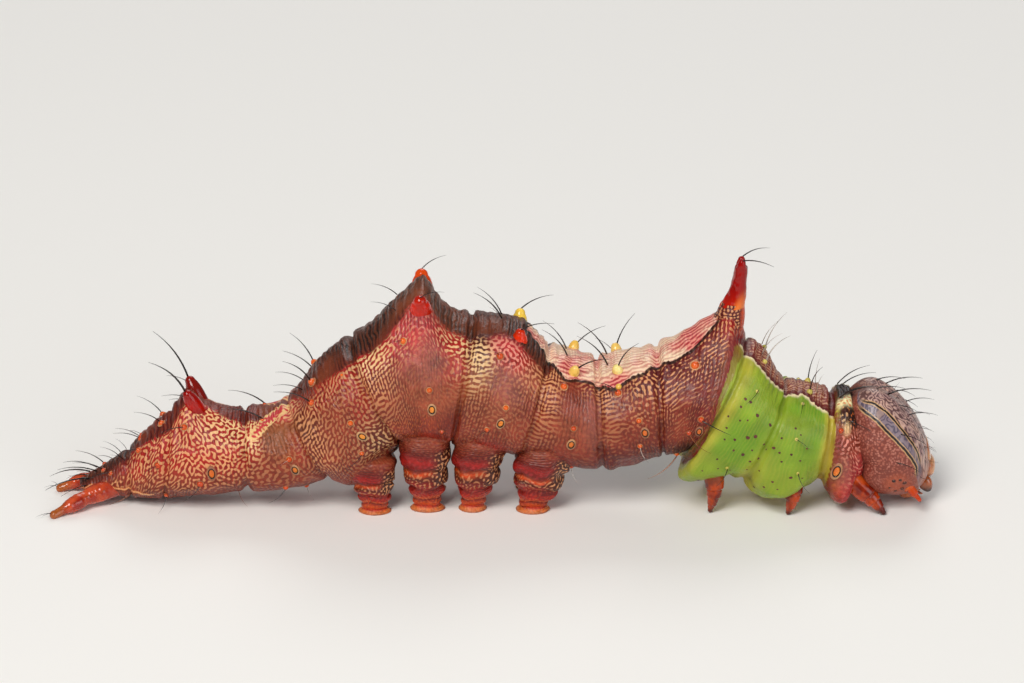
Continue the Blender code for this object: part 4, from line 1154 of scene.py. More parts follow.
# %% A node tree that stands templates on points
def standing_tree():
    """Stands the template on each point, turned and scaled by what the point keeps."""
    tree = bpy.data.node_groups.new("stand on the skin", "GeometryNodeTree")
    sockets = {}
    for name, kind in (
        ("Points", "Geometry"), ("Template", "Object"), ("Size", "Float"), ("Unevenness", "Float"),
        ("Seed", "Int"), ("Finish", "Material"),
    ):
        sockets[name] = tree.interface.new_socket(name, in_out="INPUT", socket_type="NodeSocket" + kind)
    tree.interface.new_socket("Mesh", in_out="OUTPUT", socket_type="NodeSocketGeometry")
    given = add_node(tree, "NodeGroupInput").outputs
    up, lie, size = (
        add_node(tree, "GeometryNodeInputNamedAttribute", {"Name": name}, data_type="FLOAT_VECTOR").outputs[0]
        for name in ("up", "lie", "size")
    )
    align = "FunctionNodeAlignRotationToVector"
    upright = add_node(tree, align, {"Vector": up}, axis="Z")
    turned = add_node(tree, align, {"Rotation": upright.outputs[0], "Vector": lie}, axis="X", pivot_axis="Z")
    least = add_node(tree, "ShaderNodeMath", {0: 1.0, 1: given["Unevenness"]}, operation="SUBTRACT")
    chance = add_node(tree, "FunctionNodeRandomValue", {
        2: least.outputs[0], 3: 1.0, "Seed": given["Seed"],
    }, data_type="FLOAT")
    whole = add_node(tree, "ShaderNodeMath", {0: chance.outputs[1], 1: given["Size"]}, operation="MULTIPLY")
    scaled = add_node(tree, "ShaderNodeVectorMath", {0: size, "Scale": whole.outputs[0]}, operation="SCALE")
    template = add_node(tree, "GeometryNodeObjectInfo", {"Object": given["Template"]})
    copies = add_node(tree, "GeometryNodeInstanceOnPoints", {
        "Points": given["Points"], "Instance": template.outputs["Geometry"],
        "Rotation": turned.outputs[0], "Scale": scaled.outputs[0],
    })
    real = add_node(tree, "GeometryNodeRealizeInstances", {0: copies.outputs[0]})
    painted = add_node(tree, "GeometryNodeSetMaterial", {
        "Geometry": real.outputs[0], "Material": given["Finish"],
    })
    add_node(tree, "NodeGroupOutput", {0: painted.outputs[0]})
    return tree, {name: socket.identifier for name, socket in sockets.items()}


STANDING, STANDING_INPUTS = standing_tree()


def stood(name, template, spots, finish, unevenness=0.0, seed=1):
    """A piece with one copy of the template on every spot (place, up, lie, size), in millimetres."""
    points = bpy.data.meshes.new(name)
    points.from_pydata([tuple(np.array(spot[0], float) * MM) for spot in spots], [], [])
    for k, key in enumerate(("up", "lie", "size"), 1):
        stored(points, key, [np.array(spot[k], float) * np.ones(3) for spot in spots], "FLOAT_VECTOR")
    made = bpy.data.objects.new(name, points)
    bpy.context.scene.collection.objects.link(made)
    modifier = made.modifiers.new("stand", "NODES")
    modifier.node_group = STANDING
    given = {
        "Template": template, "Size": 1.0, "Unevenness": unevenness, "Seed": seed, "Finish": finish.material,
    }
    for key, value in given.items():
        modifier[STANDING_INPUTS[key]] = value
    plain_mesh(made)
    made.data.shade_smooth()
    return made


def hidden(obj):
    """Marks a template, so that it is neither rendered nor kept."""
    obj.hide_render = True
    return obj


def ring_faces(rows, around, closed=False):
    """Faces between rows of rings. Open rows get lids, whose two middle points follow the rings."""
    def corner(r, i):
        return r % rows * around + i % around
    faces = [(corner(r, i), corner(r, i + 1), corner(r + 1, i + 1), corner(r + 1, i))
             for r in range(rows if closed else rows - 1) for i in range(around)]
    if not closed:
        middle = rows * around
        faces += [(corner(0, i + 1), corner(0, i), middle) for i in range(around)]
        faces += [(corner(-1, i), corner(-1, i + 1), middle + 1) for i in range(around)]
    return faces


def woven(name, rings):
    """A closed object from rows of rings."""
    points = rings.reshape(-1, 3).tolist() + [rings[0].mean(0).tolist(), rings[-1].mean(0).tolist()]
    return mesh_object(name, points, ring_faces(*rings.shape[:2]))


def turned_rings(profile, around):
    """Rings turned from (radius, height) points."""
    turn = one_turn(around)[0]
    return np.array([[(r * math.cos(a), r * math.sin(a), h) for a in turn] for r, h in profile])


def lathe(name, profile, around, wobble=0.0):
    """A closed shape turned from a profile, bottom to top. Its ends may be points on the axis."""
    rings = turned_rings([(r, h) for r, h in profile if r > 0], around)
    if wobble:
        rings *= 1 + wobble * rolling(rings, 0.8, 77)[..., None]
    points = rings.reshape(-1, 3).tolist() + [(0, 0, profile[0][1]), (0, 0, profile[-1][1])]
    return mesh_object(name, points, ring_faces(len(rings), around))


def ring_shape(name, profile, around):
    """A closed ring turned from a closed profile."""
    rings = turned_rings(profile, around)
    return mesh_object(name, rings.reshape(-1, 3), ring_faces(len(profile), around, closed=True))


def spot_on_skin(station, degrees, side, size, lift=0.0):
    """A spot at a station and angle on one side, lying along the body."""
    angle = side * math.radians(degrees)
    place, normal = skin_point(np.array([station]), np.array([angle]))
    ahead = skin_point(np.array([station + 0.02]), np.array([angle]))[0] - place
    return place[0] + normal[0] * lift, normal[0], ahead[0], size


print("standing tree has", len(STANDING.nodes), "nodes")

# %% [markdown]
# ## Breathing holes
# Each spiracle is an oval hole with a pale ring round it, a black rim and an orange lid with a slit.
# Three turned shapes make one: a bulging ring, a thin rim and a lens pressed in at its middle.

# %% Spiracles
SPIRACLES = [  # station, degrees, half length, half height
    (2.60, 96, 0.11, 0.20), (3.73, 102, 0.095, 0.155), (4.75, 101, 0.10, 0.155), (5.66, 94, 0.10, 0.155),
    (6.57, 98, 0.10, 0.155), (7.57, 102, 0.10, 0.155), (8.71, 96, 0.10, 0.15), (9.76, 104, 0.09, 0.15),
    (12.27, 102, 0.12, 0.22),
]


def glossy(name, colour, second, roughness=0.22, grain=3500.0, wet=0.12, coat_=0.3):
    """A wet, slightly clear finish that drifts between two screen colours."""
    made = Finish(name, Roughness=roughness, Specular_IOR_Level=0.36, Subsurface_Weight=wet,
                  Subsurface_Scale=0.0003, Subsurface_Radius=(1.0, 0.35, 0.15), Coat_Weight=coat_,
                  Coat_Roughness=0.12)
    share = made.ramp(made.noise(made.where, grain * 0.4), 0.35, 0.65)
    made.link(made.mix(share, colour, second), "Base Color")
    made.bump(made.noise(made.where, grain * 4, 3.0), 0.006, 0.6)
    return made


RING = [(0.74, -0.10), (1.36, -0.10), (1.42, 0.02), (1.30, 0.13), (1.12, 0.20), (0.96, 0.17), (0.84, 0.05)]
RIM = [(0.76, -0.05), (1.0, -0.05), (1.02, 0.14), (0.93, 0.27), (0.82, 0.26), (0.74, 0.10)]
LENS = [(0.80, -0.05), (0.80, 0.06), (0.66, 0.15), (0.45, 0.21), (0.25, 0.22), (0.10, 0.17), (0.03, 0.10)]
spots = []
for place, turn, wide, high in SPIRACLES:
    spots += [spot_on_skin(place, turn, side, (wide * 1.12, high * 1.05, 0.17)) for side in (1, -1)]
for word, template, looks in (
    ("ring", ring_shape("pale ring", RING, 28), ((206, 160, 116), (160, 104, 76), 0.4)),
    ("rim", ring_shape("black rim", RIM, 28), ((30, 18, 12), (58, 34, 20), 0.25)),
    ("lid", lathe("lid", LENS, 24), ((244, 158, 62), (222, 116, 36), 0.3)),
):
    piece = stood(f"spiracle_{word}s", hidden(template), spots, glossy(f"spiracle {word}", *looks))
    placed(piece, "skin_brown")
print("spiracles:", len(spots))

# %% [markdown]
# ## Warts
# Hairs grow on small domes. Most are amber and clear with a pale collar. The pairs on the pale
# saddle are larger and yellow, those on the green thorax small and pale. A table gives the place of
# each and one turned dome serves for all, in three finishes.

# %% Warts of the trunk
WARTS = {
    "amber": [  # station, degrees, radius, height
        (2.25, 42, 0.12, 0.1), (1.32, 35, 0.12, 0.1), (1.83, 79, 0.12, 0.09), (1.84, 15, 0.13, 0.1),
        (2.47, 110, 0.13, 0.11), (1.32, 3, 0.1, 0.08), (2.02, 139, 0.12, 0.1), (4.4, 42, 0.13, 0.13),
        (4.5, 24, 0.15, 0.15), (5.43, 44, 0.12, 0.1), (5.64, 76, 0.1, 0.1), (6.57, 82, 0.1, 0.09),
        (6.35, 45, 0.13, 0.1), (6.42, 108, 0.09, 0.09), (7.58, 84, 0.1, 0.09), (7.62, 144, 0.09, 0.07),
        (8.64, 81, 0.1, 0.1), (8.6, 112, 0.09, 0.09), (9.69, 91, 0.11, 0.1), (9.58, 108, 0.1, 0.08),
        (9.4, 141, 0.1, 0.08), (4.71, 84, 0.1, 0.1), (4.66, 113, 0.09, 0.09), (3.73, 86, 0.11, 0.11),
        (3.49, 129, 0.11, 0.09), (3.68, 154, 0.1, 0.08), (9.44, 39, 0.16, 0.13), (8.35, 48, 0.13, 0.12),
        (7.32, 46, 0.13, 0.12), (0.45, 22, 0.09, 0.07), (0.62, 48, 0.08, 0.06), (3.4, 22, 0.08, 0.06),
        (4.85, 42, 0.06, 0.05), (5.8, 118, 0.08, 0.08), (12.3, 60, 0.1, 0.08),
    ],
    "yellow": [(7.50, 27, 0.21, 0.28), (8.38, 24, 0.21, 0.25), (8.37, 42, 0.12, 0.10)],
    "pale": [
        (11.45, 14, 0.12, 0.12), (10.35, 16, 0.1, 0.1), (10.38, 50, 0.07, 0.05), (11.34, 32, 0.07, 0.06),
        (11.39, 71, 0.07, 0.05), (11.58, 106, 0.07, 0.05), (10.6, 118, 0.07, 0.05),
    ],
}
WART_COLOURS = {
    "amber": ((234, 116, 44), (200, 80, 34)),
    "yellow": ((250, 232, 158), (240, 196, 96)),
    "pale": ((226, 206, 120), (176, 168, 70)),
}
DOME = [(1.0, -0.25), (1.02, 0.0), (0.93, 0.35), (0.74, 0.68), (0.48, 0.90), (0.25, 0.99), (0.12, 1.0)]
COLLAR = [(0.7, -0.2), (1.30, -0.2), (1.34, 0.02), (1.18, 0.16), (1.0, 0.14)]
dome, collar = hidden(lathe("dome", DOME, 18)), hidden(ring_shape("collar", COLLAR, 18))
for tone, table in WARTS.items():
    spots = [spot_on_skin(s, d, side, (0.88 * r, 0.88 * r, h)) for s, d, r, h in table for side in (1, -1)]
    placed(stood("warts_" + tone, dome, spots, glossy(tone + " wart", *WART_COLOURS[tone])), "skin_brown")
    if tone == "amber":
        pale_amber = glossy("wart collar", (206, 150, 104), (160, 92, 62), 0.4)
        placed(stood("wart_collars", collar, spots, pale_amber), "skin_brown")
print("warts:", 2 * sum(map(len, WARTS.values())))

# %% [markdown]
# ## Freckles on the green
# The green part carries plum-brown freckles a tenth of a millimetre wide. They lie flat, so each is
# a very thin disc on the skin, with uneven outlines.

# %% Freckles
FRECKLES = [  # station, degrees, radius
    (10.25, 63, 0.05), (10.36, 62, 0.06), (10.24, 71, 0.05), (10.13, 84, 0.05), (10.57, 66, 0.07),
    (10.35, 81, 0.05), (10.86, 64, 0.08), (10.72, 82, 0.08), (11.15, 72, 0.05), (11.32, 60, 0.05),
    (10.53, 102, 0.06), (11.02, 90, 0.05), (10.58, 144, 0.04), (11.27, 113, 0.05), (11.49, 108, 0.06),
    (10.22, 92, 0.04), (10.3, 98, 0.05), (10.45, 95, 0.05), (10.62, 88, 0.07), (10.8, 96, 0.05),
    (10.92, 84, 0.05), (11.1, 84, 0.06), (11.22, 88, 0.05), (11.3, 96, 0.04), (11.4, 88, 0.05),
    (10.7, 104, 0.07), (10.4, 110, 0.04), (10.5, 118, 0.05), (10.66, 122, 0.04), (10.86, 108, 0.05),
    (10.96, 102, 0.06), (11.06, 112, 0.05), (11.2, 122, 0.06), (11.36, 118, 0.04), (10.32, 120, 0.04),
    (10.76, 134, 0.05), (10.9, 120, 0.04), (11.56, 94, 0.05), (11.6, 80, 0.04), (10.46, 76, 0.04),
    (10.98, 72, 0.05), (11.44, 66, 0.04), (11.12, 136, 0.05), (10.38, 134, 0.05), (11.66, 112, 0.04),
]
disc = hidden(lathe("disc", [(0.8, -0.4), (1.0, 0.0), (0.8, 0.4), (0.5, 0.6)], 12, 0.12))
spots = []
for s, d, r in FRECKLES:
    spots += [spot_on_skin(s, d, side, (r * 1.15, r * 0.9, 0.010), 0.002) for side in (1, -1)]
freckle = glossy("freckle", (92, 44, 46), (120, 66, 58), 0.45, coat_=0.0)
placed(stood("freckles", disc, spots, freckle, unevenness=0.3, seed=5), "skin_green")
print("freckles:", len(spots))

# %% [markdown]
# ## Horns and tubercles
# The tall red horn of A1 ends in two blunt points. A5, A4 and A8 carry pairs of smaller ones. They
# are smooth, wet-looking and partly clear, so a tapering tube with a rounded tip gives the shape,
# and a finish with a clear coat over a red that lets some light in gives the look.

# %% A tapering tube along a path
def tube(name, path, girths, around, rows, squash=1.0):
    """A closed tube through a few points of a path, its girth given at each, with a domed end."""
    path, girths = np.array(path, float), np.array(girths, float)
    t = np.linspace(0, len(path) - 1, rows)
    line, girth = through(path, t), np.maximum(through(girths, t), 0.004)
    way = np.gradient(line, axis=0)
    way /= np.linalg.norm(way, axis=1, keepdims=True)
    across = np.array((0.0, 1.0, 0.0)) - way * way[:, 1:2]
    across /= np.linalg.norm(across, axis=1, keepdims=True)
    other = np.cross(across, way)
    caps = np.linspace(0, math.pi / 2, 7)[1:]
    line = np.vstack([line, [line[-1] + way[-1] * girth[-1] * math.sin(a) for a in caps]])
    girth = np.append(girth, [girth[-1] * max(math.cos(a), 0.02) for a in caps])
    across, other = (np.vstack([v, np.repeat(v[-1:], len(caps), 0)]) for v in (across, other))
    turn = one_turn(around)[..., None]
    out = other[:, None] * np.cos(turn) + squash * across[:, None] * np.sin(turn)
    return woven(name, line[:, None] + girth[:, None, None] * out)


SIDES = ((1, "left"), (-1, "right"))
# The two copies of a pair are one colour on the animal. The different colours given for right and left are
# painted light and shade, and the pale yellow of the left a4 tubercle is a painted highlight.
TUBERCLES = {  # foot, tip, girth, colour on the right, colour on the left
    "a4": ((0.84, 0.80, 5.90), (0.92, 0.97, 6.62), 0.27, (236, 62, 10), (252, 214, 92)),
    "a5": ((-2.42, 0.98, 7.15), (-2.46, 1.34, 7.92), 0.35, (222, 44, 4), (240, 92, 14)),
    "a8": ((-10.02, 0.42, 3.36), (-10.44, 0.66, 4.24), 0.27, (186, 22, 4), (166, 30, 12)),
}
for name, (foot, tip, girth, *lit_and_shaded_tones) in TUBERCLES.items():
    for (side, word), tone in zip(SIDES, lit_and_shaded_tones[::-1]):
        foot_, tip_ = (Vector((p[0], side * p[1], p[2])) for p in (foot, tip))
        length = (tip_ - foot_).length
        reach = (length - girth * 0.62) / length
        path = [foot_.lerp(tip_, share * reach) for share in (-0.25, 0.2, 0.55, 0.8, 1.0)]
        girths = [girth * g for g in (1.10, 1.10, 1.02, 0.88, 0.66)]
        deep = tuple(c * 0.82 for c in tone)
        finish = glossy(f"tubercle {name} {word}", tone, deep, 0.14, coat_=0.12, wet=0.06)
        piece = tube(f"tubercle_{name}_{word}_skin", path, girths, 26, 26)
        placed(piece, "horn_red", f"tubercle_{name}_{word}", finish=finish)
print("tubercles:", 2 * len(TUBERCLES))

# %% The horn of A1
points, _ = horn_rings(7.05, 8.52, 46, 48, 0.012)
drawn_in = np.array((0.10, 0.04, 0.0))[:, None, None]  # the lowest rings
points[:3] -= (points[:3] - points[:3].mean(1, keepdims=True)) * drawn_in
horn = woven("horn", points + 0.012 * rolling(points, 0.35, 61)[..., None] * np.array((1, 1, 0)))
KNOB = ((8.32, 0.06, 8.30), (8.33, 0.12, 8.45), (8.345, 0.15, 8.60), (8.355, 0.16, 8.70))
knobs = []
for side in (1, -1):
    path = [(x, side * y, z) for x, y, z in KNOB]
    knobs.append(tube("knob", path, (0.16, 0.17, 0.165, 0.13), 24, 16, 0.9))
united(horn, knobs)
for _ in range(2):
    smoother = horn.modifiers.new("soften", "SMOOTH")
    smoother.factor, smoother.iterations = 0.6, 3
    plain_mesh(horn)
red = Finish("horn red", Roughness=0.14, Specular_IOR_Level=0.3, Subsurface_Weight=0.05,
             Subsurface_Scale=0.0003, Subsurface_Radius=(1.0, 0.25, 0.1), Coat_Weight=0.08,
             Coat_Roughness=0.08)
front = red.math("MULTIPLY_ADD", red.axis(2), -0.45, red.axis(0))
low = red.ramp(red.axis(2), 7.0 * MM, 7.9 * MM, 1, 0)
rim = red.ramp(front, 4.75 * MM, 5.0 * MM)
colour = red.mix(low, (158, 8, 0), (192, 40, 8))
colour = red.mix(red.math("MULTIPLY", rim, low), colour, (238, 138, 62))
red.link(colour, "Base Color")
red.bump(red.noise(red.where, 9000.0, 3.0), 0.008, 0.5)
placed(horn, "horn_red", "horn_a1", finish=red)
print("horn:", len(horn.data.polygons), "faces")

# %% [markdown]
# ## Hairs
# Stiff black hairs, up to two millimetres long, stand on the warts of the back, the horn tips and
# the head. Finer pale and amber ones stand low on the sides, on the thorax and on the legs. Each is
# one copy of a curved, tapering bristle. Curves would do too, but a mesh template keeps its taper
# after it is made real.

# %% Hairs of the body
HAIRS = {  # station, degrees, length, lean forward, out, up
    "black": [
        (0.3, 14, 1.5, -0.9, 0.15, 0.45), (0.45, 22, 1.3, -0.8, 0.25, 0.7), (0.62, 48, 0.9, -0.8, 0.6, 0.3),
        (0.85, 12, 0.9, -0.6, 0.1, 0.8), (0.12, 30, 1.7, -1.0, 0.3, 0.15), (0.04, 60, 1.1, -0.9, 0.6, 0.0),
        (0.95, 30, 0.7, -0.5, 0.4, 0.8), (1.32, 3, 1.15, -0.8, 0.2, 0.6), (1.32, 35, 0.7, -0.7, 0.5, 0.4),
        (1.84, 15, 1.25, -0.65, 0.3, 0.85), (1.83, 79, 0.7, -0.8, 0.8, 0.0),
        (2.02, 139, 0.8, -0.1, 0.5, -1.0), (2.25, 42, 1.0, -0.9, 0.6, 0.3),
        (2.47, 110, 1.0, -0.4, 0.6, -0.8), (3.4, 22, 1.6, -0.8, 0.15, 0.65),
        (3.49, 129, 0.9, -0.5, 0.5, -0.8), (4.4, 42, 1.6, -0.8, 0.4, 0.9), (4.5, 24, 1.7, -0.4, 0.3, 1.0),
        (4.3, 12, 1.2, -0.9, 0.2, 0.6), (4.66, 113, 0.9, -0.4, 0.7, -0.6), (5.4, 18, 1.1, -0.8, 0.1, 0.75),
        (5.43, 44, 0.7, -0.8, 0.5, 0.3), (6.3, 6, 1.6, -0.4, 0.15, 1.0), (6.35, 45, 0.7, -0.5, 0.5, 0.8),
        (6.42, 108, 0.6, -0.6, 0.8, 0.1), (7.5, 27, 1.7, 0.65, 0.35, 0.8), (7.3, 10, 1.6, -0.35, 0.1, 1.0),
        (8.38, 24, 1.6, 0.2, 0.2, 1.0), (8.2, 12, 1.7, -0.4, 0.1, 1.0), (8.35, 48, 1.2, -0.6, 0.4, 0.9),
        (9.44, 39, 0.5, 0.5, 0.5, 0.6), (9.69, 91, 1.3, 0.9, 0.6, -0.35), (10.38, 50, 0.8, -0.4, 0.8, -0.5),
        (11.45, 14, 1.4, 0.05, 0.15, 1.0), (11.34, 32, 0.75, -0.1, 0.8, -0.2),
        (11.39, 71, 0.7, 0.7, 0.9, -0.1), (11.58, 106, 0.9, 0.1, 0.7, -0.7),
        (10.6, 118, 0.9, -0.2, 0.7, -0.7), (12.3, 20, 1.6, 0.7, 0.3, 0.75), (12.55, 14, 1.5, 0.8, 0.2, 0.6),
        (12.6, 50, 1.1, 0.9, 0.5, -0.3),
    ],
    "pale": [
        (3.73, 86, 0.5, -0.5, 0.8, 0.2), (3.68, 154, 0.7, 0.2, 0.5, -1.0), (7.62, 144, 0.8, 0.1, 0.5, -1.0),
        (8.6, 112, 0.8, 0.1, 0.7, -0.8), (10.35, 16, 1.6, 0.25, 0.2, 1.0), (10.25, 10, 1.3, 0.3, 0.15, 1.0),
        (11.6, 12, 1.1, 0.0, 0.2, 1.0),
    ],
    "amber": [
        (9.4, 141, 1.5, -0.6, 0.3, -1.0), (9.58, 108, 1.2, 0.5, 0.5, -0.9), (12.3, 60, 0.5, 0.6, 0.8, -0.2),
        (1.0, 130, 1.1, -0.7, 0.5, -0.5), (2.9, 140, 0.7, 0.2, 0.5, -1.0), (5.8, 118, 0.5, 0.1, 0.9, -0.3),
    ],
}


def bristle(bend, stout):
    """A curved hair of unit length along +Z that bends towards +X."""
    t, turn = np.linspace(0, 1, 9)[:, None], one_turn(6)
    girth = stout * (1 - 0.82 * t**1.5)
    x, y = bend * t**2 + girth * np.cos(turn), girth * np.sin(turn)
    return hidden(woven("bristle", np.stack([x, y, t - 0.35 * bend * t**2 + 0 * turn], -1)))


def hair_spot(place, way, length):
    """A spot for a bristle that starts at a place and leaves along a direction."""
    way = np.array(way, float) / np.linalg.norm(way)
    lean = np.array((way[0] if abs(way[0]) > 0.08 else 0.1, 0.5 * way[1], -0.35))
    return np.array(place, float) - way * 0.04, way, lean, length


FAR_LENGTH = 0.93  # the hairs of the far side are a little shorter
hair_spots = {tone: [] for tone in HAIRS}
for tone, table in HAIRS.items():
    for s, d, length, ahead, out, up in table:
        for side, share in ((1, FAR_LENGTH), (-1, 1)):
            place = spot_on_skin(s, d, side, 1.0, 0.06)[0]
            hair_spots[tone].append(hair_spot(place, (ahead, side * out, up), length * share))
for side in (1, -1):
    hair_spots["black"] += [
        hair_spot((-10.44, side * 0.66, 4.22), (-0.35, side * 0.25, 1.0), 2.2),
        hair_spot((-10.30, side * 0.60, 3.95), (-0.8, side * 0.35, 0.6), 1.2),
        hair_spot((-2.46, side * 1.34, 7.90), (0.7, side * 0.4, 0.75), 1.2),
        hair_spot((0.92, side * 0.97, 6.60), (0.75, side * 0.3, 0.65), 1.5),
        hair_spot((8.36, side * 0.18, 8.78), (0.75, side * 0.7, 0.45), 1.5),
    ]
    for x, y, z in ((1.6, 1.75, 1.0), (-0.6, 1.70, 1.2), (-2.3, 1.70, 1.2), (-4.1, 1.70, 0.8)):
        hair_spots["amber"].append(hair_spot((x, side * y, z), (-0.2, side * 0.7, -0.6), 0.7))
print("hairs on the body:", sum(map(len, hair_spots.values())))

# %% [markdown]
# ## Head
# The head capsule is one hard shell: a tall, round-cheeked form that leans back over the neck. The
# same formula as in the solids gives its points, now in a fine grid. On top of it come a shallow
# furrow down the crown, seams that frame the face, and two dark stripes on each side.

# %% The head's form
HEAD_MIDDLE, HEAD_TILT = np.array((13.53, 0.0, 2.27)), math.radians(27)
HALF = dict(up=2.28, down=1.88, front=1.15, back=1.30, side=1.84)
DOWN = np.array((math.sin(HEAD_TILT), 0, -math.cos(HEAD_TILT)))
FRONT = np.array((math.cos(HEAD_TILT), 0, math.sin(HEAD_TILT)))
SIDE = np.array((0.0, 1.0, 0.0))
CHEEK_FALL, CLEFT_DEPTH, CLEFT_WIDTH, HEAD_SQUARE = 0.20, 0.18, 0.38, 2.35


def head_surface(polar, turn, grow=0.0):
    """Points of the capsule, in degrees from the crown and from the middle of the face."""
    polar, turn = np.broadcast_arrays(np.radians(polar), np.radians(turn))
    rise, below = np.cos(polar), np.maximum(-np.cos(polar), 0)
    reach = np.sin(polar) ** np.where(below > 0, 0.72, 0.92)
    ahead = np.sign(np.cos(turn)) * np.abs(np.cos(turn)) ** (2 / HEAD_SQUARE)
    aside = np.sign(np.sin(turn)) * np.abs(np.sin(turn)) ** (2 / HEAD_SQUARE)
    front = np.where(
        ahead > 0,
        HALF["front"] * ahead * reach * (1 - 0.12 * np.maximum(rise, 0)),
        HALF["back"] * ahead * reach * (1 + 0.32 * np.sin(math.pi * below)),
    )
    side = HALF["side"] * aside * reach * (1 - 0.12 * np.maximum(rise, 0) ** 2)
    down = -np.where(below > 0, HALF["down"], HALF["up"]) * rise
    down = down + CLEFT_DEPTH * np.exp(-((side / CLEFT_WIDTH) ** 2)) * eased(rise * 1.6)
    offset = down[..., None] * DOWN + front[..., None] * FRONT + side[..., None] * SIDE
    fall = CHEEK_FALL * np.abs(aside) ** 1.5 * reach * below**0.6
    offset = offset + fall[..., None] * np.array((-0.6, 0, -0.8))
    length = np.linalg.norm(offset, axis=-1, keepdims=True)
    return HEAD_MIDDLE + offset * (1 + np.asarray(grow)[..., None] / np.maximum(length, 0.2))


def head_place(down, front, side):
    """A point given along the head's own directions."""
    return HEAD_MIDDLE + down * DOWN + front * FRONT + side * SIDE


print("crown of the head at", [round(float(c), 2) for c in head_surface(0, 0)])

# %% Lines on the head
HEAD_LINES = {  # polar and turn angles, from crown to mouth
    "upper": [(24, 108), (33, 91), (38, 77), (51, 62), (65, 57), (78, 54), (90, 51), (103, 47), (117, 51)],
    "lower": [
        (30, 116), (36, 109), (46, 94), (56, 87), (67, 81), (77, 75), (88, 70), (100, 63), (112, 60),
        (126, 67),
    ],
    "seam": [(64, 0), (72, 5), (84, 12), (97, 19), (110, 26), (122, 34)],
}


def head_distance(points, polar, turn, line):
    """Distance to a line of the head, positive on the cheek side of it, and how far inside its ends."""
    line = np.array(line, float)
    steps = np.arange(2, 168, 0.8)
    curve = np.interp(steps, line[:, 0], line[:, 1])
    for _ in range(3):
        curve[1:-1] = (curve[:-2] + 2 * curve[1:-1] + curve[2:]) / 4
    tree = tree_of(np.vstack([head_surface(steps, curve), head_surface(steps, -curve)]))
    away = np.array([tree.find(p)[2] for p in points])
    inside_ends = np.minimum(polar - line[0, 0], line[-1, 0] - polar) * 0.035
    return np.where(np.abs(turn) > np.interp(polar, steps, curve), away, -away), inside_ends


HEAD_ROWS, HEAD_AROUND = 150, 200
round_head = (np.arange(HEAD_AROUND) + 0.5) * 360 / HEAD_AROUND - 180
polar_, turn_ = np.meshgrid(np.linspace(1.2, 178.8, HEAD_ROWS), round_head, indexing="ij")
plain = head_surface(polar_, turn_)
fields = {}
for name, line in HEAD_LINES.items():
    fields[name] = head_distance(plain.reshape(-1, 3), polar_.ravel(), turn_.ravel(), line)
seam, seam_ends = (values.reshape(polar_.shape) for values in fields["seam"])
seam_share = eased((seam_ends + 0.1) / 0.2)
middle_line = np.exp(-((plain[..., 1] / 0.055) ** 2)) * eased((62 - polar_) / 10)
frame_line = np.exp(-((seam / 0.05) ** 2)) * seam_share
swell = 0.010 * rolling(plain, 0.7, 91) - 0.045 * np.maximum(middle_line, frame_line)
head = woven("head_capsule", head_surface(polar_, turn_, swell))
for name, (away, ends) in fields.items():
    stored(head.data, f"{name} line", np.append(away, [-1.0, 1.0]))
    stored(head.data, f"{name} ends", np.append(ends, [-1.0, -1.0]))
stored(head.data, "polar", np.append(polar_, [0.0, 180.0]))
stored(head.data, "turn", np.append(np.abs(turn_), [0.0, 0.0]))
work = bmesh.new()
work.from_mesh(head.data)
neck_middle = 0.5 * (np.array(GROOVES[-1][1]) + np.array(GROOVES[-1][2]))
neck_way = np.array(GROOVES[-1][1]) - np.array(GROOVES[-1][2])
neck_way = np.array((neck_way[1], 0, -neck_way[0])) / np.linalg.norm(neck_way)
neck_way = neck_way if neck_way[0] > 0 else -neck_way
neck = np.array((neck_middle[0], 0, neck_middle[1])) + neck_way * 0.10
cut = bmesh.ops.bisect_plane(work, geom=work.verts[:] + work.edges[:] + work.faces[:], dist=1e-8,
                             plane_co=list(neck * MM), plane_no=list(neck_way), clear_inner=True)
bmesh.ops.edgeloop_fill(work, edges=[e for e in cut["geom_cut"] if isinstance(e, bmesh.types.BMEdge)])
bmesh.ops.recalc_face_normals(work, faces=work.faces)
work.to_mesh(head.data)
work.free()
print("head:", len(head.data.polygons), "faces")

# %% [markdown]
# The face between the stripes of both sides is pinkish grey, with fine dark lines that flow from
# crown to mouth. They are the sine of a stretched noise, so they keep their width and never cross.
# The cheek is pinkish brown and granular, darker towards the mouth, and orange round the eyes.
# Each stripe is black between two cream edges. The stored distances draw these borders exactly.

# %% Finish of the head
shell = Finish("head shell", Roughness=0.36, Specular_IOR_Level=0.4, Subsurface_Weight=0.06,
               Subsurface_Scale=0.0003, Subsurface_Radius=(1.0, 0.45, 0.3))
where = shell.where
polar_s, turn_s = shell.stored("polar"), shell.stored("turn")
upper, lower = shell.stored("upper line"), shell.stored("lower line")
swung = shell.vector("ADD", where, shell.drift(where, 900.0, 2.0, 0.35 * MM))
stretched = shell.node("Mapping", {
    "Vector": swung, "Rotation": (0, -HEAD_TILT, 0), "Scale": (1.0, 1.0, 0.26),
}).outputs[0]
slope = shell.node("TexNoise", {
    "Vector": stretched, "Scale": 2900.0, "Detail": 1.6, "Roughness": 0.45,
}).outputs["Fac"]
flow = shell.math("MULTIPLY_ADD", shell.math("SINE", shell.math("MULTIPLY", slope, 46.0)), 0.5, 0.5)
face_cut = shell.ramp(flow, 0.12, 0.50)
clouded = shell.mix(shell.ramp(shell.noise(where, 2200.0), 0.36, 0.64), (166, 132, 132), (200, 164, 152))
face = shell.mix(face_cut, (112, 82, 80), clouded)
face = shell.mix(shell.ramp(flow, 0.80, 0.98, 0, 0.6), face, (222, 190, 168))
between = shell.mix(face_cut, (100, 88, 104), (146, 128, 136))
between = shell.mix(shell.ramp(slope, 0.62, 0.68, 0, 0.4), between, (186, 156, 136))
grains = shell.node("TexVoronoi", {"Vector": swung, "Scale": 11500.0, "Randomness": 0.9}).outputs["Distance"]
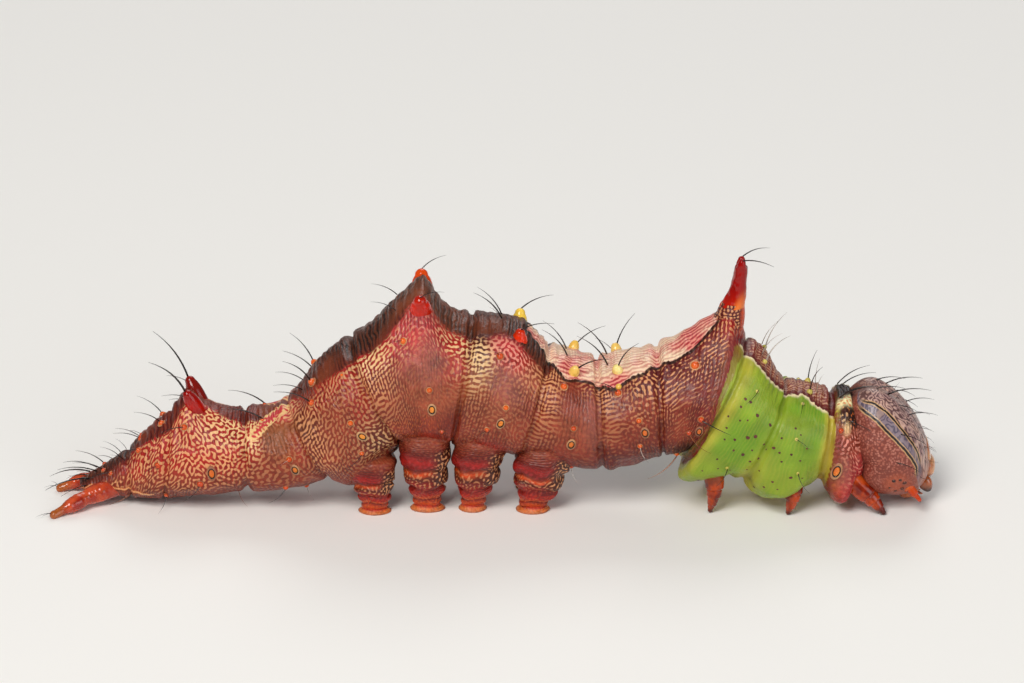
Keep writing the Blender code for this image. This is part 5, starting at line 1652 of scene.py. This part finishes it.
grain_tone = shell.ramp(shell.noise(where, 3200.0, 3.0), 0.38, 0.62)
grain_tone = shell.mix(grain_tone, (176, 106, 88), (190, 128, 112))
cheek = shell.mix(shell.ramp(grains, 0.22, 0.62), grain_tone, (136, 72, 60))
cheek = shell.mix(shell.math("MULTIPLY", shell.ramp(polar_s, 88, 128), 0.5), cheek, (154, 78, 58))
EYES_AT = (121, 96)  # the middle of the six simple eyes of a side
eye_away = []
for side in (1, -1):
    middle = tuple(head_surface(EYES_AT[0], side * EYES_AT[1]) * MM)
    eye_away.append(shell.vector("LENGTH", shell.vector("SUBTRACT", where, middle)))
nearest = shell.math("MINIMUM", *eye_away)
cheek = shell.mix(shell.ramp(nearest, 0.25 * MM, 0.6 * MM, 0.45, 0.0), cheek, (196, 104, 66))
cheek = shell.mix(shell.math("MULTIPLY", shell.ramp(turn_s, 128, 150), 0.8), cheek, (98, 40, 30))
below_lower = shell.ramp(lower, -0.02, 0.02)
colour = shell.mix(shell.ramp(upper, -0.02, 0.02), face, between)
colour = shell.mix(below_lower, colour, cheek)
colour = shell.mix(shell.ramp(polar_s, 8, 34, 0.65, 0.0), colour, (126, 92, 82))
for away, ends, width in ((upper, "upper ends", 0.036), (lower, "lower ends", 0.042)):
    waver = shell.math("MULTIPLY_ADD", shell.noise(where, 5200.0), 0.05, -0.025)
    distance = shell.math("ABSOLUTE", shell.math("ADD", away, waver))
    there = shell.ramp(shell.stored(ends), 0.0, 0.35)
    edge = shell.math("MULTIPLY", shell.ramp(distance, width + 0.05, width + 0.02, 0, 0.8), there)
    colour = shell.mix(edge, colour, (208, 170, 122))
    edge = shell.math("MULTIPLY", shell.ramp(distance, width + 0.012, width - 0.012), there)
    colour = shell.mix(edge, colour, (34, 20, 18))
near_seam = shell.ramp(shell.math("ABSOLUTE", shell.stored("seam line")), 0.065, 0.02)
near_seam = shell.math("MULTIPLY", near_seam, shell.ramp(shell.stored("seam ends"), 0.0, 0.2))
colour = shell.mix(shell.math("MULTIPLY", near_seam, 0.7), colour, (86, 44, 30))
mouth_side = shell.math("MULTIPLY", shell.ramp(polar_s, 112, 142, 0.0, 0.85), shell.ramp(turn_s, 84, 52))
colour = shell.mix(mouth_side, colour, (170, 104, 76))
shell.link(colour, "Base Color")
shell.link(shell.math("MULTIPLY_ADD", below_lower, 0.12, 0.30), "Roughness")
cheek_grain = shell.math("MULTIPLY", grains, shell.ramp(lower, -0.05, 0.05, 0.3, 1.0))
shell.bump(shell.math("ADD", cheek_grain, shell.math("MULTIPLY", face_cut, 0.2)), 0.022, 0.7)
placed(head, "head_brown", "head", finish=shell)
print("head dressed")

# %% Simple eyes
STEMMATA = [  # polar, turn, size
    (114, 97, 0.9), (116, 91, 1.0), (123, 89, 1.05), (131, 94, 0.95), (130, 103, 0.8), (121, 106, 0.7),
]


def head_spot(polar, turn, size, sink=0.0):
    """A spot on the head, its way up square to the shell."""
    place = head_surface(polar, turn)
    along = head_surface(polar + 1, turn) - head_surface(polar - 1, turn)
    across = head_surface(polar, turn + 1) - head_surface(polar, turn - 1)
    out = np.cross(along, across)
    out *= np.sign(np.dot(out, place - HEAD_MIDDLE)) / np.linalg.norm(out)
    return place - out * sink, out, along, size


EYE = [(0, -0.5), (0.9, -0.5), (0.98, 0.0), (0.9, 0.32), (0.7, 0.58), (0.4, 0.76), (0.0, 0.84)]
CUFF = [(0.86, -0.4), (1.30, -0.4), (1.34, 0.02), (1.18, 0.20), (1.0, 0.24), (0.86, 0.10)]
eye_spots = [head_spot(p, side * t, 0.066 * size, 0.01) for side in (1, -1) for p, t, size in STEMMATA]
dark_glass = glossy("eye glass", (40, 18, 12), (96, 44, 24), 0.08, coat_=0.3, wet=0.0)
placed(stood("stemmata", hidden(lathe("eye", EYE, 20)), eye_spots, dark_glass), "head_brown")
cuff_brown = glossy("eye rim", (66, 26, 18), (128, 62, 40), 0.35)
placed(stood("stemma_rims", hidden(ring_shape("cuff", CUFF, 20)), eye_spots, cuff_brown), "head_brown")
print("simple eyes:", len(eye_spots))

# %% [markdown]
# ## Mouth
# The mouth parts hang from the lower end of the face: a clear amber plate, the upper lip with its
# notch, two toothed jaws, and the lower lip with feelers and the spinneret between them. The plate
# is a raised patch of the face. Lips and jaws are rounded blocks that are shaped by a short rule,
# because they are small, smooth and glassy.


# %% Mouth parts
def shaped_ball(name, middle, half, rows=26, around=40, square=2.4, shape=None):
    """A rounded block in the head's own directions. half runs front, side, down."""
    polar, turn = np.linspace(0.04, math.pi - 0.04, rows)[:, None], one_turn(around)
    power = 2 / square
    front, side = (
        np.sin(polar) ** power * np.sign(way) * np.abs(way) ** power for way in (np.cos(turn), np.sin(turn))
    )
    unit = np.stack([front, side, np.cos(polar) + 0 * turn], -1)
    unit = shape(unit) if shape else unit
    offset = unit * np.array(half)
    points = middle + offset[..., :1] * FRONT + offset[..., 1:2] * SIDE - offset[..., 2:] * DOWN
    return woven(name, points)


def notched(unit):
    """Lower lip edge with a notch in the middle and a thinner front."""
    front, side, up = np.moveaxis(unit, -1, 0)
    low = np.maximum(-up, 0)
    notch = np.exp(-((side / 0.28) ** 2)) * low
    return np.stack([front * (1 - 0.35 * low), side * (1 - 0.12 * low), up + 0.42 * notch], -1)


def toothed(unit):
    """A jaw whose lower edge has four blunt teeth."""
    front, side, up = np.moveaxis(unit, -1, 0)
    low = np.maximum(-up, 0) ** 2
    teeth = 0.2 * low * np.cos(side * 10)
    return np.stack([front * (1 - 0.45 * low), side * (1 - 0.12 * low), up - teeth], -1)


amber = glossy("mouth amber", (224, 168, 126), (190, 122, 86), 0.14, 5000.0, wet=0.2, coat_=0.3)
amber.shader.inputs["Transmission Weight"].default_value = 0.12
upper_lip = shaped_ball("upper_lip", head_place(1.45, 0.70, 0), (0.34, 0.55, 0.44), shape=notched)
placed(upper_lip, "mouth_amber", "labrum", finish=amber)
down = (1 - np.cos(np.linspace(0, math.pi, 40)[:, None])) / 2
aside = np.linspace(-1, 1, 60)[None]
from_middle = np.abs(2 * down - 1)
plate_turn = aside * ((14 + 9 * down) * (1 - from_middle**3.5) ** 0.3 + 0.3)
plate_rise = 0.085 * ((1 - np.abs(aside) ** 6) * (1 - from_middle**6)) ** 0.6 - 0.03
outer = head_surface(108 + 24 * down, plate_turn, plate_rise)
inner = head_surface(108 + 24 * down, plate_turn, -0.06)
placed(woven("clypeus", np.concatenate([outer, inner[:, ::-1]], 1)), "mouth_amber", finish=amber)
jaw_finish = Finish("jaws", Roughness=0.16, Coat_Weight=0.7, Coat_Roughness=0.1, Subsurface_Weight=0.1,
                    Subsurface_Scale=0.0003)
share = jaw_finish.ramp(jaw_finish.axis(2), 0.45 * MM, 0.85 * MM)
jaw_finish.link(jaw_finish.mix(share, (48, 18, 12), (186, 106, 58)), "Base Color")
for side, word in SIDES:
    middle = head_place(1.95, 0.42, side * 0.34)
    jaw = shaped_ball(f"jaw_{word}", middle, (0.24, 0.26, 0.30), 30, 44, 2.9, toothed)
    placed(jaw, "mouth_amber", f"mandible_{word}", finish=jaw_finish)
lower_lip = shaped_ball("lower_lip", head_place(1.95, -0.22, 0), (0.40, 0.52, 0.34), 24, 40, 2.3)
palps = []
for side in (1, -1):
    for front, out, long, girth in ((0.02, 0.34, 0.26, 0.10), (0.10, 0.14, 0.16, 0.05)):
        path = [head_place(2.10, front - 0.22, side * out), head_place(2.24, front - 0.12, side * out * 1.05),
                head_place(2.24 + long * 0.5, front - 0.02, side * out)]
        palps.append(tube("palp", path, (girth, girth * 0.85, girth * 0.45), 16, 14))
path = [head_place(2.15, -0.10, 0), head_place(2.30, 0.0, 0), head_place(2.42, 0.10, 0)]
palps.append(tube("spinneret", path, (0.09, 0.06, 0.03), 16, 14))
united(lower_lip, palps)
lip_brown = glossy("lower lip", (204, 122, 78), (160, 84, 52), 0.24, 6000.0)
placed(lower_lip, "mouth_amber", "labium", finish=lip_brown)
print("mouth parts placed")


# %% Feelers
feeler_orange = glossy("feeler orange", (222, 116, 42), (192, 70, 16), 0.14, 2600.0, wet=0.12, coat_=0.16)
for side, word in SIDES:
    root, tip = head_place(1.25, -0.10, side * 1.15), head_place(1.96, 0.10, side * 1.50)
    t = np.linspace(0, 1, 40)
    girth = np.interp(t, (0, 0.34, 0.39, 0.70, 0.75, 1), (0.27, 0.21, 0.16, 0.135, 0.09, 0.07))
    path = root + (tip - root) * t[:, None] * 0.97
    feeler = tube(f"feeler_{word}", path, girth, 24, 60)
    placed(feeler, "leg_orange", f"antenna_{word}", finish=feeler_orange)
print("feelers placed")

# %% [markdown]
# ## Legs
# Six true legs stand on the thorax, short, glassy and orange, each of four segments and a dark claw.
# The last pair of legs at the tail is held out behind as two slim, finely ringed stalks.

# %% True legs
TRUE_LEGS = {  # root, tip (x, y), girth, bow forward and outward
    "t1": ((12.30, 1.05, 1.05), (13.28, 1.45), 0.36, (0.06, 0.02)),
    "t2": ((10.15, 1.25, 1.35), (10.03, 1.45), 0.34, (0.10, 0.04)),
    "t3": ((7.45, 1.20, 1.60), (7.38, 1.25), 0.34, (0.10, 0.04)),
}
LEG_TAPER = (  # share of the way down, share of the girth
    (0, 1.08), (0.30, 1.0), (0.44, 0.93), (0.47, 0.80), (0.64, 0.73), (0.68, 0.60), (0.86, 0.46), (0.9, 0.36),
    (1, 0.24),
)
LEG_JOINTS = (0.455, 0.66, 0.88)
JOINT_PINCH, JOINT_WIDTH = 0.10, 0.018
CLAW = ((0.02, 0, 0.03), (0.0585, -0.007, -0.012), (0.075, -0.01, -0.066))  # from the tip of the leg


def true_leg(name, root, tip, girth, bow, side):
    """A tapering leg, drawn in at its joints, with a hooked claw."""
    mirror = np.array((1, side, 1))
    root, tip = np.array(root) * mirror, np.array((*tip, 0.10)) * mirror
    t = np.linspace(-0.12, 1, 60)[:, None]
    share = np.clip(t, 0, 1)
    path = root + (tip - root) * t + np.array((*bow, 0)) * mirror * np.sin(math.pi * share)
    share = share[:, 0]
    size = girth * np.interp(share, *np.transpose(LEG_TAPER))
    for joint in LEG_JOINTS:
        size = size * (1 - JOINT_PINCH * np.exp(-(((share - joint) / JOINT_WIDTH) ** 2)))
    leg = tube(name, path, size, 30, 110)
    claw = tube("claw", tip + np.array(CLAW) * mirror, (0.06, 0.045, 0.015), 14, 12)
    return united(leg, [claw])


limb = Finish("true legs", Roughness=0.16, Specular_IOR_Level=0.4, Subsurface_Weight=0.08,
              Subsurface_Scale=0.0003, Subsurface_Radius=(1.0, 0.35, 0.15), Coat_Weight=0.16,
              Coat_Roughness=0.1)
shade = limb.mix(limb.ramp(limb.noise(limb.where, 2400.0, 3.0), 0.36, 0.66), (122, 28, 2), (190, 76, 14))
shade = limb.mix(limb.ramp(limb.axis(2), 0.10 * MM, 0.34 * MM, 0.85, 0.0), shade, (74, 26, 10))
shade = limb.mix(limb.ramp(limb.axis(2), 1.0 * MM, 1.5 * MM, 0.0, 0.4), shade, (206, 112, 46))
limb.link(shade, "Base Color")
limb.bump(limb.noise(limb.where, 14000.0, 3.0), 0.01, 0.6)
for name, shape in TRUE_LEGS.items():
    for side, word in SIDES:
        leg = true_leg(f"true_leg_{name}_{word}", *shape, side)
        placed(leg, "leg_orange", f"leg_{name}_{word}", finish=limb)
print("true legs:", 2 * len(TRUE_LEGS))

# %% The last pair of legs
ANAL_X, ANAL_Z = (-12.90, -13.70, -14.35, -14.95), (0.62, 0.45, 0.30, 0.10)
ANAL_SPLAY = {"left": (0.45, 0.62, 0.66, 0.58), "right": (0.45, 0.75, 1.25, 1.66)}
ANAL_GIRTH = (  # station along the leg, girth
    (0, 0.32), (0.7, 0.34), (1.15, 0.30), (1.35, 0.25), (1.75, 0.285), (2.2, 0.24), (2.5, 0.165), (2.8, 0.15),
    (3.0, 0.16),
)


def anal_point(word, side, s):
    """The middle of a hind leg, 0 at its root and 3 at its end."""
    return np.stack([through(ANAL_X, s), side * through(ANAL_SPLAY[word], s), through(ANAL_Z, s)], -1)


stalk = Finish("anal legs", Roughness=0.17, Specular_IOR_Level=0.4, Subsurface_Weight=0.2,
               Subsurface_Scale=0.0003, Subsurface_Radius=(1.0, 0.35, 0.15), Coat_Weight=0.35,
               Coat_Roughness=0.1)
shade = stalk.mix(stalk.ramp(stalk.noise(stalk.where, 1500.0, 3.0), 0.38, 0.64), (160, 38, 6), (206, 92, 52))
shade = stalk.mix(stalk.ramp(stalk.axis(0), -14.85 * MM, -14.45 * MM, 0.7, 0.0), shade, (176, 110, 48))
shade = stalk.mix(stalk.ramp(stalk.axis(0), -13.4 * MM, -12.9 * MM, 0.0, 0.6), shade, (150, 46, 34))
stalk.link(shade, "Base Color")
stalk.bump(stalk.noise(stalk.where, 9000.0, 4.0), 0.02, 0.6)
s = np.linspace(0, 3, 90)
ringed = 1 - 0.012 * np.cos(s * 34 + 2.5 * np.sin(s * 5)) * np.clip(s, 0, 1)
girth = np.interp(s, *np.transpose(ANAL_GIRTH)) * ringed
for side, word in SIDES:
    last = tube(f"anal_leg_{word}_skin", anal_point(word, side, s), girth, 32, 110)
    points = points_of(last.data)
    points[:, 2] = np.maximum(points[:, 2], 0.002)
    last.data.vertices.foreach_set("co", (points * MM).ravel())
    placed(last, "leg_orange", f"anal_leg_{word}", finish=stalk)
print("anal legs placed")

# %% Hairs of the head and legs
HEAD_HAIRS = [  # polar, turn, length, ahead, out, up
    (26, 24, 1.25, 1.0, 0.15, 0.4), (42, 20, 1.6, 1.0, 0.1, 0.55), (52, 12, 0.45, 0.2, 0.1, 1.0),
    (58, 22, 0.95, 1.0, 0.2, 0.0), (72, 16, 1.2, 1.0, 0.15, 0.42), (75, 62, 1.2, 1.0, 0.25, -0.05),
    (86, 18, 0.75, 1.0, 0.2, 0.15), (60, 124, 0.95, 0.8, 0.5, -0.5), (95, 88, 1.05, 1.0, 0.45, 0.0),
    (104, 26, 0.6, 0.9, 0.2, -0.1), (115, 72, 0.45, 0.7, 0.4, -0.45), (112, 10, 0.5, 1.0, 0.05, -0.3),
    (126, 20, 0.45, 0.9, 0.1, -0.6), (140, 92, 0.75, 0.6, 0.35, -0.55), (128, 60, 0.5, 0.8, 0.3, -0.5),
]
for polar, turn, length, ahead, out, up in HEAD_HAIRS:
    for side, share in ((1, 0.95), (-1, 1)):
        place = head_surface(polar, side * turn)
        hair_spots["black"].append(hair_spot(place, (ahead, side * out, up), length * share))
for root, tip, girth, _ in TRUE_LEGS.values():
    for side in (1, -1):
        for share, length in ((0.45, 0.4), (0.62, 0.5), (0.80, 0.35)):
            x, y = (root[k] + (tip[k] - root[k]) * share for k in range(2))
            place = (x + 0.04, side * (y + girth * 0.55), root[2] * (1 - share) + 0.1 * share)
            hair_spots["amber"].append(hair_spot(place, (0.2, side * 0.8, -0.5), length))
for side, word in SIDES:
    for s, length in ((0.3, 0.8), (0.9, 0.9), (1.5, 0.7), (2.2, 0.6)):
        place = anal_point(word, side, s) + (0, side * 0.2, 0.1)
        hair_spots["amber"].append(hair_spot(place, (-0.6, side * 0.9, 0.25), length))
    end = (-14.98, side * ANAL_SPLAY[word][-1], 0.16)
    hair_spots["black"] += [
        hair_spot(end, (-1.0, side * 0.3, 0.25), 0.7), hair_spot(end, (-0.6, side * 0.8, 0.5), 0.6),
    ]
HAIR_FINISHES = {
    "black": glossy("hair black", (26, 20, 20), (58, 44, 42), 0.22, wet=0.0, coat_=0.4),
    "pale": glossy("hair pale", (206, 196, 186), (150, 140, 130), 0.2, wet=0.0, coat_=0.5),
    "amber": glossy("hair amber", (112, 62, 38), (160, 98, 60), 0.25, wet=0.0, coat_=0.3),
}
for tone, spots in hair_spots.items():
    template = bristle(0.34, 0.019 if tone == "black" else 0.015)
    hairs = stood(f"hairs_{tone}", template, spots, HAIR_FINISHES[tone], unevenness=0.12, seed=17)
    placed(hairs, "head_brown")
print("hairs:", {tone: len(spots) for tone, spots in hair_spots.items()})

# %% [markdown]
# ## Last steps
# The templates have done their work and go.

# %% Clear up and finish
for obj in list(bpy.data.objects):
    if obj.hide_render and obj.type == "MESH" and obj.name not in frame["nodes"]:
        removed(obj)
